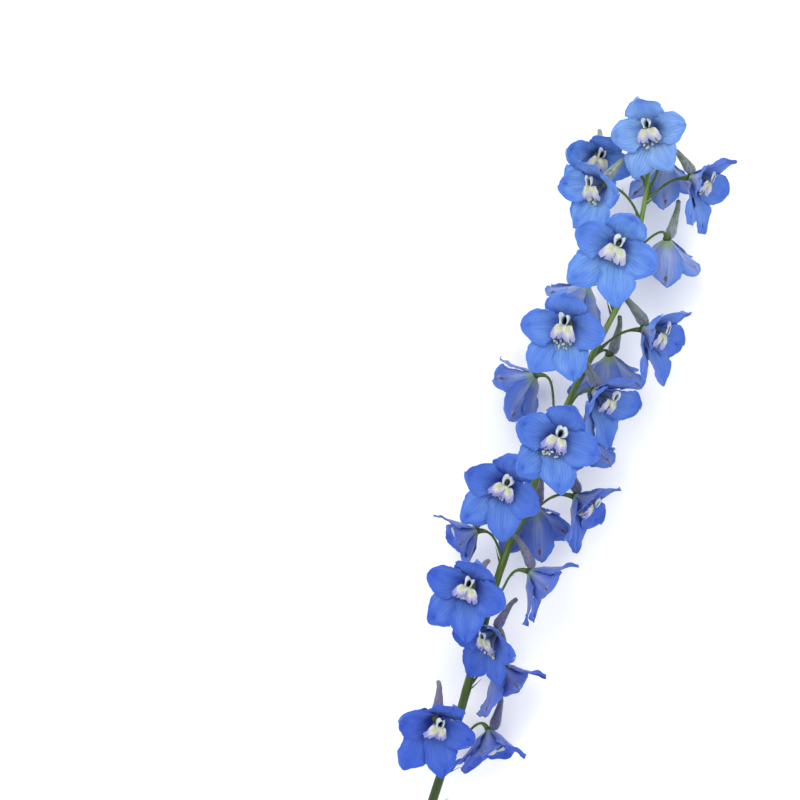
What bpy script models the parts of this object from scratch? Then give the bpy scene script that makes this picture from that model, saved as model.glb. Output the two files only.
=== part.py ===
"""A cut delphinium spike lying on a flat surface: one stem with its flower stalks, and florets along it.

Each floret is two bodies: a calyx of five blue sepals with a spur behind, and an eye of four pale petals.
Units are metres with +Z up. The spike lies along +Y with its tip at +Y, and it rests at z = 0.
"""
import math
import random
from collections import namedtuple

import bmesh
import bpy
from mathutils import Matrix, Vector

MM = 0.001
SEED = 20

# The middle of the finished spike's box, in the layout's own coordinates, is moved to x = 0, y = 0
BOX_MIDDLE = Vector((3.09, 137.6, 0.0)) * MM

# The stem's axis from its cut end to its tip, as (across, along, above the surface) in mm
STEM_AXIS = [
    (2.0, -150.0, 3.187), (1.5, -132.0, 3.187), (1.0, -114.0, 3.187), (0.5, -90.0, 5.5), (0.0, -30.0, 15.0),
    (-0.9, 38.0, 26.0), (-3.4, 89.0, 32.5), (-4.8, 124.0, 35.5), (-4.4, 152.0, 37.5), (-1.6, 175.0, 38.8),
    (-1.0, 200.0, 39.8), (2.6, 240.0, 40.8), (11.3, 293.0, 41.6), (14.6, 312.0, 42.0), (14.2, 326.0, 42.0),
    (11.7, 351.0, 42.0), (8.6, 374.0, 42.0), (2.2, 401.0, 42.0),
]
STEM_END_RADIUS = 3.45 * MM
STEM_TIP_RADIUS = 1.2 * MM
STEM_SIDES = 8

STALK_SHARES = [0.0, 0.22, 0.5, 0.8, 1.0]
STALK_RADII = [1.25 * MM, 0.8 * MM, 0.75 * MM, 0.85 * MM, 1.75 * MM]
STALK_SIDES = 6

BRACT_LENGTH = 13.0 * MM
BRACT_RADIUS = 1.0 * MM
BRACT_SIDES = 3
BRACT_DROP = 3.0
# Two bracts low on the stem whose buds never grew, as the distance along the layout and the side
BARE_BRACTS = [(6.0, 75.0), (-14.0, 60.0)]

BLADE_THICKNESS = 0.7 * MM

HUB_RADII = Vector((3.2, 3.2, 2.2)) * MM
HUB_HEIGHT = 0.8 * MM
SEAT_GAP = 0.3 * MM
SEAT_BACK = Vector((0.0, -1.2, -1.25)) * MM
SEAT_DIRECTION = Vector((0.0, 0.27, 0.963))

CLAW_RADIUS = 2.2 * MM
CLAW_HEIGHT = 0.8 * MM
CLAW_HALF_WIDTH = 0.8 * MM
TIP_HALF_WIDTH = 0.9 * MM
# A larger power moves a sepal's widest place towards its tip
WIDEST_POWER = 1.85
CUPPING = 0.05
RIPPLE = 0.5 * MM
# The sepals are in their own layers from this share of their length on, and join in the hub below it
LAYER_SHARE = 0.25

# The five sepals lie on one bowl. These are its leans from the way the floret faces, at the claws and at
# the tips, in degrees. It is steep at the upper sepal, the hood, and opens over this angle to its sides
HOOD_LEANS = (20.0, 56.0)
BOWL_LEANS = (34.0, 73.0)
HOOD_SPREAD = 84.0

# A sepal's place round the floret, in degrees from the upper sepal, and its form. A larger bluntness makes
# a rounder tip, tilt opens the tip in degrees, and layer is how far it lies in front of the bowl
Sepal = namedtuple("Sepal", "around length half_width bluntness tilt layer")
SEPALS = [
    Sepal(around=0, length=28.5 * MM, half_width=11.0 * MM, bluntness=0.4, tilt=0.0, layer=-1.85 * MM),
    Sepal(around=92, length=28 * MM, half_width=12.0 * MM, bluntness=0.55, tilt=0.0, layer=0.0),
    Sepal(around=-92, length=28 * MM, half_width=12.0 * MM, bluntness=0.55, tilt=0.0, layer=0.0),
    Sepal(around=155, length=35 * MM, half_width=10.4 * MM, bluntness=0.4, tilt=0.0, layer=-1.85 * MM),
    Sepal(around=-155, length=35 * MM, half_width=10.4 * MM, bluntness=0.4, tilt=0.0, layer=-3.7 * MM),
]
SEPAL_COLUMNS = 2
SEPAL_ROWS = 4

SPUR_START = Vector((0.0, 3.2, 0.9)) * MM
SPUR_LEAN = math.radians(145)
SPUR_LENGTH = 24.5 * MM
SPUR_BEND = 2.2 * MM
SPUR_RADII = [3.4 * MM, 2.8 * MM, 2.2 * MM, 1.5 * MM]
SPUR_SIDES = 6

# The eye's four petals grow from one small seat. Each is given by where its middle line passes on the
# right side, as (across, up, forward) in mm, and by its half width there: an upper petal from its tip
# to the seat, then a lower one from the seat to its tip
EYE_LINE = [
    (3.2, 7.4, 16.0), (2.0, 3.6, 10.8), (0.9, 0.6, 4.1),
    (0.9, -0.6, 4.1), (2.6, 1.6, 14.0), (4.4, -8.3, 13.6),
]
EYE_HALF_WIDTHS = [1.2, 1.4, 0.5, 0.5, 2.3, 3.5]
EYE_SEAT_ROW = 2

# The florets from the tip down. attach is where the stalk leaves the stem; across and along are where
# the floret's hub lies in the layout, and lift is its height over the stem's axis, all in mm. turn is
# the way it faces, in degrees from straight up towards +X; nod tips its face down the stem; roll turns
# it about its own axis, anticlockwise seen from the front; size is its share of full size.
Floret = namedtuple("Floret", "attach across along lift turn nod roll size")
FLORETS = [
    Floret(388, 2.0, 407.5, 8.0, -22, 13, 22, 0.9),
    Floret(377, -25.0, 387.5, -14.5, 11, 19, 0, 0.85),
    Floret(372, 15.0, 397.0, -14.0, 151, 47, 0, 0.85),
    Floret(368, 29.5, 388.5, 6.0, 62, 6, 0, 0.9),
    Floret(338, 30.5, 353.5, -16.9, 150, 52, 0, 0.92),
    Floret(355, -15.5, 369.5, 8.0, -47, 28, 0, 0.9),
    Floret(318, 0.5, 335.0, 22.0, -6, 11, -10, 1.0),
    Floret(300, -6.5, 313.0, -10.0, -136, 60, 0, 0.92),
    Floret(262, -11.5, 284.0, 18.0, -15, 12, 7, 1.0),
    Floret(274, 30.3, 296.0, 4.0, 62, 4, 0, 1.0),
    Floret(268, 18.0, 277.0, -10.0, 138, 52, 0, 0.92),
    Floret(231, 13.0, 252.5, 14.5, 55, 15, 9, 1.0),
    Floret(214, 16.0, 228.0, -7.7, 125, 52, 0, 0.92),
    Floret(225, -19.0, 252.5, -16.4, -127, 38, 2, 0.92),
    Floret(198, 0.0, 218.5, 26.0, 1, -2, -5, 0.97),
    Floret(166, -18.0, 185.5, 13.0, -5, 9, -10, 0.95),
    Floret(165, 22.9, 190.7, -1.8, 68, 15, -16, 0.92),
    Floret(160, 4.0, 177.6, -9.0, 156, 45, -6, 0.9),
    Floret(140, -24.5, 154.0, -2.0, -84, 39, 0, 0.9),
    Floret(113, 10.0, 141.0, 8.0, 83, 16, 6, 0.92),
    Floret(97, -19.0, 123.5, 21.5, -14, 8, -5, 0.95),
    Floret(80, 4.0, 101.5, 9.5, -38, 34, 0, 0.9),
    Floret(62, 11.9, 82.0, -3.0, 90, 38, -9, 0.92),
    Floret(22, -15.5, 42.0, 14.0, 13, 18, 0, 0.95),
    Floret(18, 18.7, 41.8, -7.0, 56, 53, -10, 0.92),
]


def clear_scene():
    for item in list(bpy.data.objects):
        bpy.data.objects.remove(item, do_unlink=True)


def make_material(name, colour, roughness):
    material = bpy.data.materials.new(name)
    material.use_nodes = True
    shader = material.node_tree.nodes["Principled BSDF"]
    shader.inputs["Base Color"].default_value = (*colour, 1.0)
    shader.inputs["Roughness"].default_value = roughness
    shader.inputs["Metallic"].default_value = 0.0
    return material


def new_object(name, mesh, collection):
    item = bpy.data.objects.new(name, mesh)
    collection.objects.link(item)
    return item


def bezier(points, share):
    """A point of the cubic curve through the first and last control points."""
    a, b, c, d = points
    rest = 1.0 - share
    return a * rest ** 3 + b * 3 * rest ** 2 * share + c * 3 * rest * share ** 2 + d * share ** 3


def stem_points():
    return [Vector(point) * MM - BOX_MIDDLE for point in STEM_AXIS]


def stem_point(along):
    """The point of the stem's axis at a distance along the layout, in metres."""
    points = stem_points()
    target = along - BOX_MIDDLE.y
    for low, high in zip(points, points[1:]):
        if target <= high.y:
            return low.lerp(high, (target - low.y) / (high.y - low.y))
    return points[-1]


def floret_matrix(floret):
    """Places a floret: its own +Z is the way it faces and its own +Y is towards its upper sepal."""
    hub = Vector((floret.across, floret.along, 0.0)) * MM - BOX_MIDDLE
    hub.z = stem_point(floret.along * MM).z + floret.lift * MM
    turn = Matrix.Rotation(math.radians(floret.turn), 4, "Y")
    nod = Matrix.Rotation(math.radians(floret.nod), 4, "X")
    roll = Matrix.Rotation(math.radians(floret.roll), 4, "Z")
    return Matrix.Translation(hub) @ turn @ nod @ roll @ Matrix.Scale(floret.size, 4)


def sepal_half_width(sepal, along):
    blade = abs(math.sin(math.pi * along ** WIDEST_POWER)) ** (1.1 - sepal.bluntness * along)
    return sepal.half_width * blade + CLAW_HALF_WIDTH * (1 - along) ** 2 + TIP_HALF_WIDTH * along ** 6


def bowl(sepal, along, around):
    """The bowl's radius, height and lean at a share along a sepal, in a direction round the floret."""
    side = min(abs(around) / math.radians(HOOD_SPREAD), 1.0)
    side = side * side * (3.0 - 2.0 * side)
    start = math.radians(HOOD_LEANS[0] + (BOWL_LEANS[0] - HOOD_LEANS[0]) * side)
    opening = math.radians(HOOD_LEANS[1] + (BOWL_LEANS[1] - HOOD_LEANS[1]) * side + sepal.tilt) - start
    lean = start + opening * along
    radius = CLAW_RADIUS + sepal.length * (math.cos(start) - math.cos(lean)) / opening
    height = CLAW_HEIGHT + sepal.length * (math.sin(lean) - math.sin(start)) / opening
    return radius, height, lean


def sepal_point(sepal, ripple_phase, along, across):
    """A point of a sepal's middle surface: along is 0 at the claw and 1 at the tip, across is -1 to 1.

    The five sepals lie on the bowl, a layer apart where they cover each other.
    """
    half = sepal_half_width(sepal, along)
    middle = math.radians(sepal.around)
    around = middle + half * across / bowl(sepal, along, middle)[0]
    radius, height, lean = bowl(sepal, along, around)
    outward = Vector((math.sin(around), math.cos(around), 0.0))
    forward = Vector((0.0, 0.0, 1.0))
    inner = forward * math.sin(lean) - outward * math.cos(lean)
    wave = RIPPLE * along * abs(across) ** 3 * math.sin(2 * math.pi * (1.6 * along + ripple_phase))
    lift = sepal.layer * min(along / LAYER_SHARE, 1.0) + CUPPING * half * across ** 2 + wave
    return outward * radius + forward * height + inner * lift


def spur_point(share):
    direction = Vector((0.0, math.sin(SPUR_LEAN), math.cos(SPUR_LEAN)))
    bend = Vector((0.0, direction.z, -direction.y)) * (SPUR_BEND * share ** 2)
    return SPUR_START + direction * (SPUR_LENGTH * share) + bend


def blade(name, columns, rows, surface, collection):
    """A thin closed blade over a formula: surface takes a share along and a place across."""
    mesh = bpy.data.meshes.new(name)
    form = bmesh.new()
    bmesh.ops.create_grid(form, x_segments=columns, y_segments=rows, size=1.0)
    for vertex in form.verts:
        step = (vertex.co.y + 1.0) / 2.0
        vertex.co = surface(1.3 * step - 0.3 * step ** 2, vertex.co.x)
    bmesh.ops.triangulate(form, faces=form.faces[:])
    form.to_mesh(mesh)
    form.free()
    item = new_object(name, mesh, collection)
    thickness = item.modifiers.new("thickness", "SOLIDIFY")
    thickness.thickness = BLADE_THICKNESS
    thickness.offset = 0.0
    return made_mesh(item, collection)


def made_mesh(item, collection):
    """The object with its modifiers applied, or its curve turned to a mesh with welded caps."""
    bpy.context.view_layer.update()
    evaluated = item.evaluated_get(bpy.context.evaluated_depsgraph_get())
    mesh = bpy.data.meshes.new_from_object(evaluated)
    form = bmesh.new()
    form.from_mesh(mesh)
    bmesh.ops.remove_doubles(form, verts=form.verts[:], dist=0.001 * MM)
    form.to_mesh(mesh)
    form.free()
    finished = new_object(item.name + ".mesh", mesh, collection)
    finished.matrix_world = item.matrix_world
    bpy.data.objects.remove(item, do_unlink=True)
    return finished


def tube(name, points, radii, sides, collection, tilt=0.0):
    """A tube with a radius at each point, and with filled ends."""
    curve = bpy.data.curves.new(name, "CURVE")
    curve.dimensions = "3D"
    curve.twist_mode = "Z_UP"
    curve.bevel_depth = 1.0
    curve.bevel_resolution = sides // 2 - 2
    curve.use_fill_caps = True
    spline = curve.splines.new("POLY")
    spline.points.add(len(points) - 1)
    for knot, point, radius in zip(spline.points, points, radii):
        knot.co = (*point, 1.0)
        knot.radius = radius
        knot.tilt = tilt
    return made_mesh(new_object(name, curve, collection), collection)


def fuse(name, pieces, material, parts, helpers):
    """Joins the pieces in one Boolean union and puts the result among the parts."""
    base = pieces[0]
    others = bpy.data.collections.new(name + "_pieces")
    bpy.context.scene.collection.children.link(others)
    for piece in pieces[1:]:
        helpers.objects.unlink(piece)
        others.objects.link(piece)
    union = base.modifiers.new("union", "BOOLEAN")
    union.operation = "UNION"
    union.operand_type = "COLLECTION"
    union.collection = others
    union.solver = "EXACT"
    bpy.context.view_layer.update()
    evaluated = base.evaluated_get(bpy.context.evaluated_depsgraph_get())
    mesh = bpy.data.meshes.new_from_object(evaluated)
    mesh.name = name
    keep_largest_body(mesh)
    mesh.materials.clear()
    mesh.materials.append(material)
    for piece in list(others.objects) + [base]:
        bpy.data.objects.remove(piece, do_unlink=True)
    bpy.data.collections.remove(others)
    return new_object(name, mesh, parts)


def keep_largest_body(mesh):
    """Fills any hollow that the union sealed, and drops any loose scrap."""
    form = bmesh.new()
    form.from_mesh(mesh)
    waiting = set(form.verts)
    bodies = []
    while waiting:
        stack = [waiting.pop()]
        body = []
        while stack:
            vertex = stack.pop()
            body.append(vertex)
            for edge in vertex.link_edges:
                other = edge.other_vert(vertex)
                if other in waiting:
                    waiting.remove(other)
                    stack.append(other)
        bodies.append(body)
    bodies.sort(key=len)
    for body in bodies[:-1]:
        bmesh.ops.delete(form, geom=body, context="VERTS")
    form.to_mesh(mesh)
    form.free()


def make_hub(helpers):
    mesh = bpy.data.meshes.new("hub")
    form = bmesh.new()
    bmesh.ops.create_uvsphere(form, u_segments=6, v_segments=3, radius=1.0)
    bmesh.ops.scale(form, vec=HUB_RADII, verts=form.verts[:])
    bmesh.ops.translate(form, vec=(0.0, 0.0, HUB_HEIGHT), verts=form.verts[:])
    form.to_mesh(mesh)
    form.free()
    return new_object("hub", mesh, helpers)


def make_calyx(number, floret, material, parts, helpers):
    draw = random.Random(SEED + number)
    pieces = [make_hub(helpers)]
    for sepal in SEPALS:
        shape = sepal._replace(
            around=sepal.around + draw.uniform(-3, 3),
            length=sepal.length * draw.uniform(0.96, 1.05),
            tilt=draw.uniform(-7, 3),
        )
        phase = draw.random()
        surface = lambda along, across: sepal_point(shape, phase, along, across)
        pieces.append(blade("sepal", SEPAL_COLUMNS, SEPAL_ROWS, surface, helpers))
    points = [spur_point(share / (len(SPUR_RADII) - 1)) for share in range(len(SPUR_RADII))]
    pieces.append(tube("spur", points, SPUR_RADII, SPUR_SIDES, helpers))
    calyx = fuse(f"calyx_{number:02d}", pieces, material, parts, helpers)
    calyx.matrix_world = floret_matrix(floret)
    return calyx


def make_eye(number, floret, material, parts, helpers):
    """One thin folded blade: two petals stand up from the seat, and two bend forward and down from it."""
    mesh = bpy.data.meshes.new("eye")
    form = bmesh.new()
    rows = len(EYE_LINE) - 1
    bmesh.ops.create_grid(form, x_segments=3, y_segments=rows, size=1.0)
    gaps = []
    for face in form.faces:
        middle = face.calc_center_median()
        row = round((middle.y + 1.0) / 2.0 * rows - 0.5)
        if abs(middle.x) < 0.1 and row != EYE_SEAT_ROW:
            gaps.append(face)
    bmesh.ops.delete(form, geom=gaps, context="FACES")
    for vertex in form.verts:
        row = round((vertex.co.y + 1.0) / 2.0 * rows)
        across, up, ahead = EYE_LINE[row]
        edge = EYE_HALF_WIDTHS[row] * (1.0 if abs(vertex.co.x) > 0.5 else -1.0)
        side = math.copysign(1.0, vertex.co.x)
        vertex.co = Vector((side * (across + edge), up, ahead)) * MM
    bmesh.ops.triangulate(form, faces=form.faces[:])
    bmesh.ops.recalc_face_normals(form, faces=form.faces[:])
    form.to_mesh(mesh)
    form.free()
    mesh.materials.append(material)
    item = new_object("eye_blade", mesh, helpers)
    thickness = item.modifiers.new("thickness", "SOLIDIFY")
    thickness.thickness = BLADE_THICKNESS
    thickness.offset = 0.0
    eye = made_mesh(item, parts)
    eye.name = f"eye_{number:02d}"
    eye.data.name = eye.name
    eye.matrix_world = floret_matrix(floret)
    return eye


def stalk_line(floret):
    """The control points of a flower stalk, which arches from the stem to the back of the floret's hub."""
    place = floret_matrix(floret)
    root = stem_point(floret.attach * MM)
    arrival = (place.to_3x3() @ SEAT_DIRECTION).normalized()
    seat = place @ SEAT_BACK - arrival * SEAT_GAP
    reach = (seat - root).length
    outward = seat - stem_point(floret.along * MM)
    outward.y = 0.0
    leave = (outward.normalized() * 0.6 + Vector((0.0, 0.8, 0.0))).normalized()
    return [root, root + leave * reach * 0.45, seat - arrival * reach * 0.4, seat]


def make_stalk(floret, helpers):
    control = stalk_line(floret)
    points = [bezier(control, share) for share in STALK_SHARES]
    return tube("stalk", points, STALK_RADII, STALK_SIDES, helpers)


def make_bract(root, leave, length, helpers):
    """A small narrow bract, whose root is sunk in the stem."""
    mesh = bpy.data.meshes.new("bract")
    form = bmesh.new()
    bmesh.ops.create_cone(
        form, cap_ends=True, segments=BRACT_SIDES, radius1=BRACT_RADIUS, radius2=0.25 * BRACT_RADIUS, depth=length)
    bmesh.ops.translate(form, vec=(0.0, 0.0, length / 2), verts=form.verts[:])
    form.to_mesh(mesh)
    form.free()
    bract = new_object("bract", mesh, helpers)
    aim = Vector((0.0, 0.0, 1.0)).rotation_difference(leave)
    bract.matrix_world = Matrix.Translation(root) @ aim.to_matrix().to_4x4()
    return bract


def make_stem(material, parts, helpers):
    points = stem_points()
    length = points[-1].y - points[0].y
    radii = []
    for point in points:
        share = max(0.0, (point.y - points[2].y) / length)
        radii.append(STEM_END_RADIUS + (STEM_TIP_RADIUS - STEM_END_RADIUS) * share)
    pieces = [tube("stem", points, radii, STEM_SIDES, helpers, tilt=math.pi / STEM_SIDES)]
    for floret in FLORETS:
        pieces.append(make_stalk(floret, helpers))
        root = stem_point((floret.attach - BRACT_DROP) * MM)
        line = stalk_line(floret)
        pieces.append(make_bract(root, (line[1] - line[0]).normalized(), BRACT_LENGTH, helpers))
    for along, side in BARE_BRACTS:
        leave = Vector((math.sin(math.radians(side)), 0.8, math.cos(math.radians(side)))).normalized()
        pieces.append(make_bract(stem_point(along * MM), leave, BRACT_LENGTH, helpers))
    return fuse("stem", pieces, material, parts, helpers)


def main():
    clear_scene()
    parts = bpy.data.collections.new("delphinium_spike")
    helpers = bpy.data.collections.new("helpers")
    bpy.context.scene.collection.children.link(parts)
    bpy.context.scene.collection.children.link(helpers)
    green = make_material("stem_green", (0.16, 0.30, 0.07), 0.5)
    blue = make_material("sepal_blue", (0.11, 0.27, 0.85), 0.55)
    white = make_material("eye_white", (0.85, 0.86, 0.84), 0.5)
    make_stem(green, parts, helpers)
    for number, floret in enumerate(FLORETS, start=1):
        make_calyx(number, floret, blue, parts, helpers)
        make_eye(number, floret, white, parts, helpers)
    bpy.data.collections.remove(helpers)


main()
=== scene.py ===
# %% [markdown]
# # A cut delphinium spike on a pale table
#
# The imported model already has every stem, sepal and eye where it belongs, as plain solids with few faces.
# This lesson dresses them: the same formulas are drawn again with many more points, and then come the
# soft waves of the sepals, their veins and glands, the felted spurs, the white eye with its beard, the
# stamens and the light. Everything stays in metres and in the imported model's own frame, so nothing has to
# be fitted by hand.

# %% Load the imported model
import math
import random
from collections import namedtuple

import bmesh
import bpy
import numpy as np
from mathutils import Matrix, Vector


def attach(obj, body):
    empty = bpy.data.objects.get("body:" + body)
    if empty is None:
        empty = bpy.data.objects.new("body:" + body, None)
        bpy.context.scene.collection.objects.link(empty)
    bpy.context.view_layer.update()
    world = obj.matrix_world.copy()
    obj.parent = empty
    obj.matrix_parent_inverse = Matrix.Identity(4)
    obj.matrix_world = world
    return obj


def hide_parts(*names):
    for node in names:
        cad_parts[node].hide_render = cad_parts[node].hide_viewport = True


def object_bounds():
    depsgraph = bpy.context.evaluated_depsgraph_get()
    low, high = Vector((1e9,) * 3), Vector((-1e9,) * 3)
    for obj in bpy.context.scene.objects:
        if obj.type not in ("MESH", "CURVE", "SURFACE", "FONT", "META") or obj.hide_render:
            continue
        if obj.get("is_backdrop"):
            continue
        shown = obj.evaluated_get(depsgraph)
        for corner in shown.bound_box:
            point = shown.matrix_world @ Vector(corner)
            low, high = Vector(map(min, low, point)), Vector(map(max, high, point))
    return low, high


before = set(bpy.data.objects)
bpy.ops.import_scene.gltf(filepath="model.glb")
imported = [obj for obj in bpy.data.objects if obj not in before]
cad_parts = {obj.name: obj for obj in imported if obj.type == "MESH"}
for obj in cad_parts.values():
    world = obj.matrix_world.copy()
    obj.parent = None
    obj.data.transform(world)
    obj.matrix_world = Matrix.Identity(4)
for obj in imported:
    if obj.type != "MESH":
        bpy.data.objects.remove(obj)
solid_box = [list(corner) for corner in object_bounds()]
print("solid model:", len(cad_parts), "nodes, box", solid_box)

# %% [markdown]
# ## The layout
#
# A spike is one stem, and every flower leaves it on its own stalk. The solids were laid out from two
# short lists: the stem's axis, and where each floret sits and which way it faces. The same lists are
# repeated here, because a finer piece only fits if it starts from the same numbers as the plain one.

# %% The stem's axis and the florets, the same as in the solids
MM = 0.001
SEED = 20
BOX_MIDDLE = Vector((3.09, 137.6, 0.0)) * MM

# The stem's axis from its cut end to its tip, as (across, along, above the table) in mm
STEM_AXIS = [
    (2.0, -150.0, 3.187), (1.5, -132.0, 3.187), (1.0, -114.0, 3.187), (0.5, -90.0, 5.5), (0.0, -30.0, 15.0),
    (-0.9, 38.0, 26.0), (-3.4, 89.0, 32.5), (-4.8, 124.0, 35.5), (-4.4, 152.0, 37.5), (-1.6, 175.0, 38.8),
    (-1.0, 200.0, 39.8), (2.6, 240.0, 40.8), (11.3, 293.0, 41.6), (14.6, 312.0, 42.0), (14.2, 326.0, 42.0),
    (11.7, 351.0, 42.0), (8.6, 374.0, 42.0), (2.2, 401.0, 42.0),
]
STEM_END_RADIUS = 3.45 * MM
STEM_TIP_RADIUS = 1.2 * MM

# attach is where the stalk leaves the stem, across and along are the place of the floret's hub and lift its
# height over the stem's axis, in mm; turn, nod and roll are how it faces, in degrees; size is a share
Floret = namedtuple("Floret", "attach across along lift turn nod roll size")
FLORETS = [
    Floret(388, 2.0, 407.5, 8.0, -22, 13, 22, 0.9),
    Floret(377, -25.0, 387.5, -14.5, 11, 19, 0, 0.85),
    Floret(372, 15.0, 397.0, -14.0, 151, 47, 0, 0.85),
    Floret(368, 29.5, 388.5, 6.0, 62, 6, 0, 0.9),
    Floret(338, 30.5, 353.5, -16.9, 150, 52, 0, 0.92),
    Floret(355, -15.5, 369.5, 8.0, -47, 28, 0, 0.9),
    Floret(318, 0.5, 335.0, 22.0, -6, 11, -10, 1.0),
    Floret(300, -6.5, 313.0, -10.0, -136, 60, 0, 0.92),
    Floret(262, -11.5, 284.0, 18.0, -15, 12, 7, 1.0),
    Floret(274, 30.3, 296.0, 4.0, 62, 4, 0, 1.0),
    Floret(268, 18.0, 277.0, -10.0, 138, 52, 0, 0.92),
    Floret(231, 13.0, 252.5, 14.5, 55, 15, 9, 1.0),
    Floret(214, 16.0, 228.0, -7.7, 125, 52, 0, 0.92),
    Floret(225, -19.0, 252.5, -16.4, -127, 38, 2, 0.92),
    Floret(198, 0.0, 218.5, 26.0, 1, -2, -5, 0.97),
    Floret(166, -18.0, 185.5, 13.0, -5, 9, -10, 0.95),
    Floret(165, 22.9, 190.7, -1.8, 68, 15, -16, 0.92),
    Floret(160, 4.0, 177.6, -9.0, 156, 45, -6, 0.9),
    Floret(140, -24.5, 154.0, -2.0, -84, 39, 0, 0.9),
    Floret(113, 10.0, 141.0, 8.0, 83, 16, 6, 0.92),
    Floret(97, -19.0, 123.5, 21.5, -14, 8, -5, 0.95),
    Floret(80, 4.0, 101.5, 9.5, -38, 34, 0, 0.9),
    Floret(62, 11.9, 82.0, -3.0, 90, 38, -9, 0.92),
    Floret(22, -15.5, 42.0, 14.0, 13, 18, 0, 0.95),
    Floret(18, 18.7, 41.8, -7.0, 56, 53, -10, 0.92),
]


def stem_point(along):
    """The point of the stem's axis at a distance along the layout, in metres."""
    points = [Vector(point) * MM - BOX_MIDDLE for point in STEM_AXIS]
    target = along - BOX_MIDDLE.y
    for low, high in zip(points, points[1:]):
        if target <= high.y:
            return low.lerp(high, (target - low.y) / (high.y - low.y))
    return points[-1]


def floret_matrix(floret):
    """Places a floret: its own +Z is the way it faces and its own +Y is towards its upper sepal."""
    hub = Vector((floret.across, floret.along, 0.0)) * MM - BOX_MIDDLE
    hub.z = stem_point(floret.along * MM).z + floret.lift * MM
    turn = Matrix.Rotation(math.radians(floret.turn), 4, "Y")
    nod = Matrix.Rotation(math.radians(floret.nod), 4, "X")
    roll = Matrix.Rotation(math.radians(floret.roll), 4, "Z")
    return Matrix.Translation(hub) @ turn @ nod @ roll @ Matrix.Scale(floret.size, 4)


print("florets:", len(FLORETS), "stem points:", len(STEM_AXIS))

# %% [markdown]
# ## Camera, table and light
#
# The photograph was taken from in front, against white, with light from all round. A cut spike lies down,
# so the camera looks straight down on it and is turned by the spike's own lean. It stands far off, which
# keeps the near florets from swelling. As in the photograph, the lower stem runs out of the picture.

# %% Camera above the spike
# One pixel of the photograph at the spike, worked out from florets that are 45 to 50 mm across
PIXEL = 0.58 * MM
CAMERA_HEIGHT = 1.1
LEAN = math.radians(17.7)
SPIKE_PLANE = 55 * MM
SENSOR_WIDTH = 36.0
FRAME_PIXELS = 800
# The picture's middle, in pixels right of and above the layout's origin
FRAME_MIDDLE = (-39.0, 398.0)

scene = bpy.context.scene
right, up = FRAME_MIDDLE
aim_along = (right * math.sin(LEAN) + up * math.cos(LEAN)) * PIXEL - BOX_MIDDLE.y
aim_across = (right * math.cos(LEAN) - up * math.sin(LEAN)) * PIXEL - BOX_MIDDLE.x
camera_data = bpy.data.cameras.new("camera")
camera_data.sensor_width = SENSOR_WIDTH
camera_data.lens = SENSOR_WIDTH * CAMERA_HEIGHT / (FRAME_PIXELS * PIXEL)
camera_data.clip_end = 20.0
camera = bpy.data.objects.new("camera", camera_data)
camera.location = (aim_across, aim_along, SPIKE_PLANE + CAMERA_HEIGHT)
camera.rotation_euler = (0.0, 0.0, LEAN)
scene.collection.objects.link(camera)
scene.camera = camera
scene.view_settings.view_transform = "Standard"
print("lens:", round(camera_data.lens, 1), "mm, looking at", round(aim_across, 3), round(aim_along, 3))

# %% [markdown]
# ## Colours and nodes
#
# Colours are given as sRGB hex values, and one function makes them linear for the shaders. A
# bright white studio adds light to everything in it, so a plant's own colour is darker than it looks: a
# fixed share of each channel is kept. The other helpers add nodes, because every material below is a tree
# of nodes.

# %% Colours
# The shares of red, green and blue that are kept
PLANT_SHARES = (0.62, 0.62, 0.62)
PETAL_SHARES = (0.57, 0.62, 0.665)


def linear(hex_colour):
    """The linear colour of an sRGB hex value, with an alpha of one."""
    channels = []
    for start in (1, 3, 5):
        value = int(hex_colour[start:start + 2], 16) / 255
        channels.append(value / 12.92 if value <= 0.04045 else ((value + 0.055) / 1.055) ** 2.4)
    return (*channels, 1.0)


def plant(hex_colour, shares=PLANT_SHARES):
    """A colour as the photograph shows it, toned down by what the bright white studio adds to it."""
    return (*[channel * share for channel, share in zip(linear(hex_colour), shares)], 1.0)


def petal(hex_colour):
    """A colour of a sepal. A little less red and more blue are kept, which matches the photograph."""
    return plant(hex_colour, PETAL_SHARES)


print("sky blue of a sepal as linear light:", [round(channel, 3) for channel in petal("#A4D2FB")[:3]])


# %% Nodes
def add_node(tree, kind, sources=None, **settings):
    """Adds a node with its settings. A source is a socket to link from, or a plain value."""
    node = tree.nodes.new(kind)
    for name, value in settings.items():
        setattr(node, name, value)
    for place, source in (sources or {}).items():
        if isinstance(source, bpy.types.NodeSocket):
            tree.links.new(source, node.inputs[place])
        else:
            node.inputs[place].default_value = source
    return node


def worked(tree, operation, *values):
    """The result of a sum on sockets or plain values."""
    return add_node(tree, "ShaderNodeMath", dict(enumerate(values)), operation=operation).outputs[0]


def times(tree, first, second):
    return worked(tree, "MULTIPLY", first, second)


def joined(tree, x, y, z):
    return add_node(tree, "ShaderNodeCombineXYZ", {0: x, 1: y, 2: z}).outputs[0]


def ramp(tree, value, start, end, low=0.0, high=1.0):
    """A soft step of a value from low at start to high at end."""
    sources = {"Value": value, "From Min": start, "From Max": end, "To Min": low, "To Max": high}
    return add_node(tree, "ShaderNodeMapRange", sources, interpolation_type="SMOOTHSTEP").outputs[0]


def mixed(tree, share, low, high):
    """The colour between low and high, at a share that is a socket or a plain value."""
    return add_node(tree, "ShaderNodeMix", {0: share, 6: low, 7: high}, data_type="RGBA").outputs[2]


def noise(tree, place, scale, detail=2.0, roughness=0.5):
    """Cloudy noise around a half, at a place that is a vector socket."""
    sources = {"Vector": place, "Scale": scale, "Detail": detail, "Roughness": roughness}
    return add_node(tree, "ShaderNodeTexNoise", sources).outputs[0]


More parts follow.
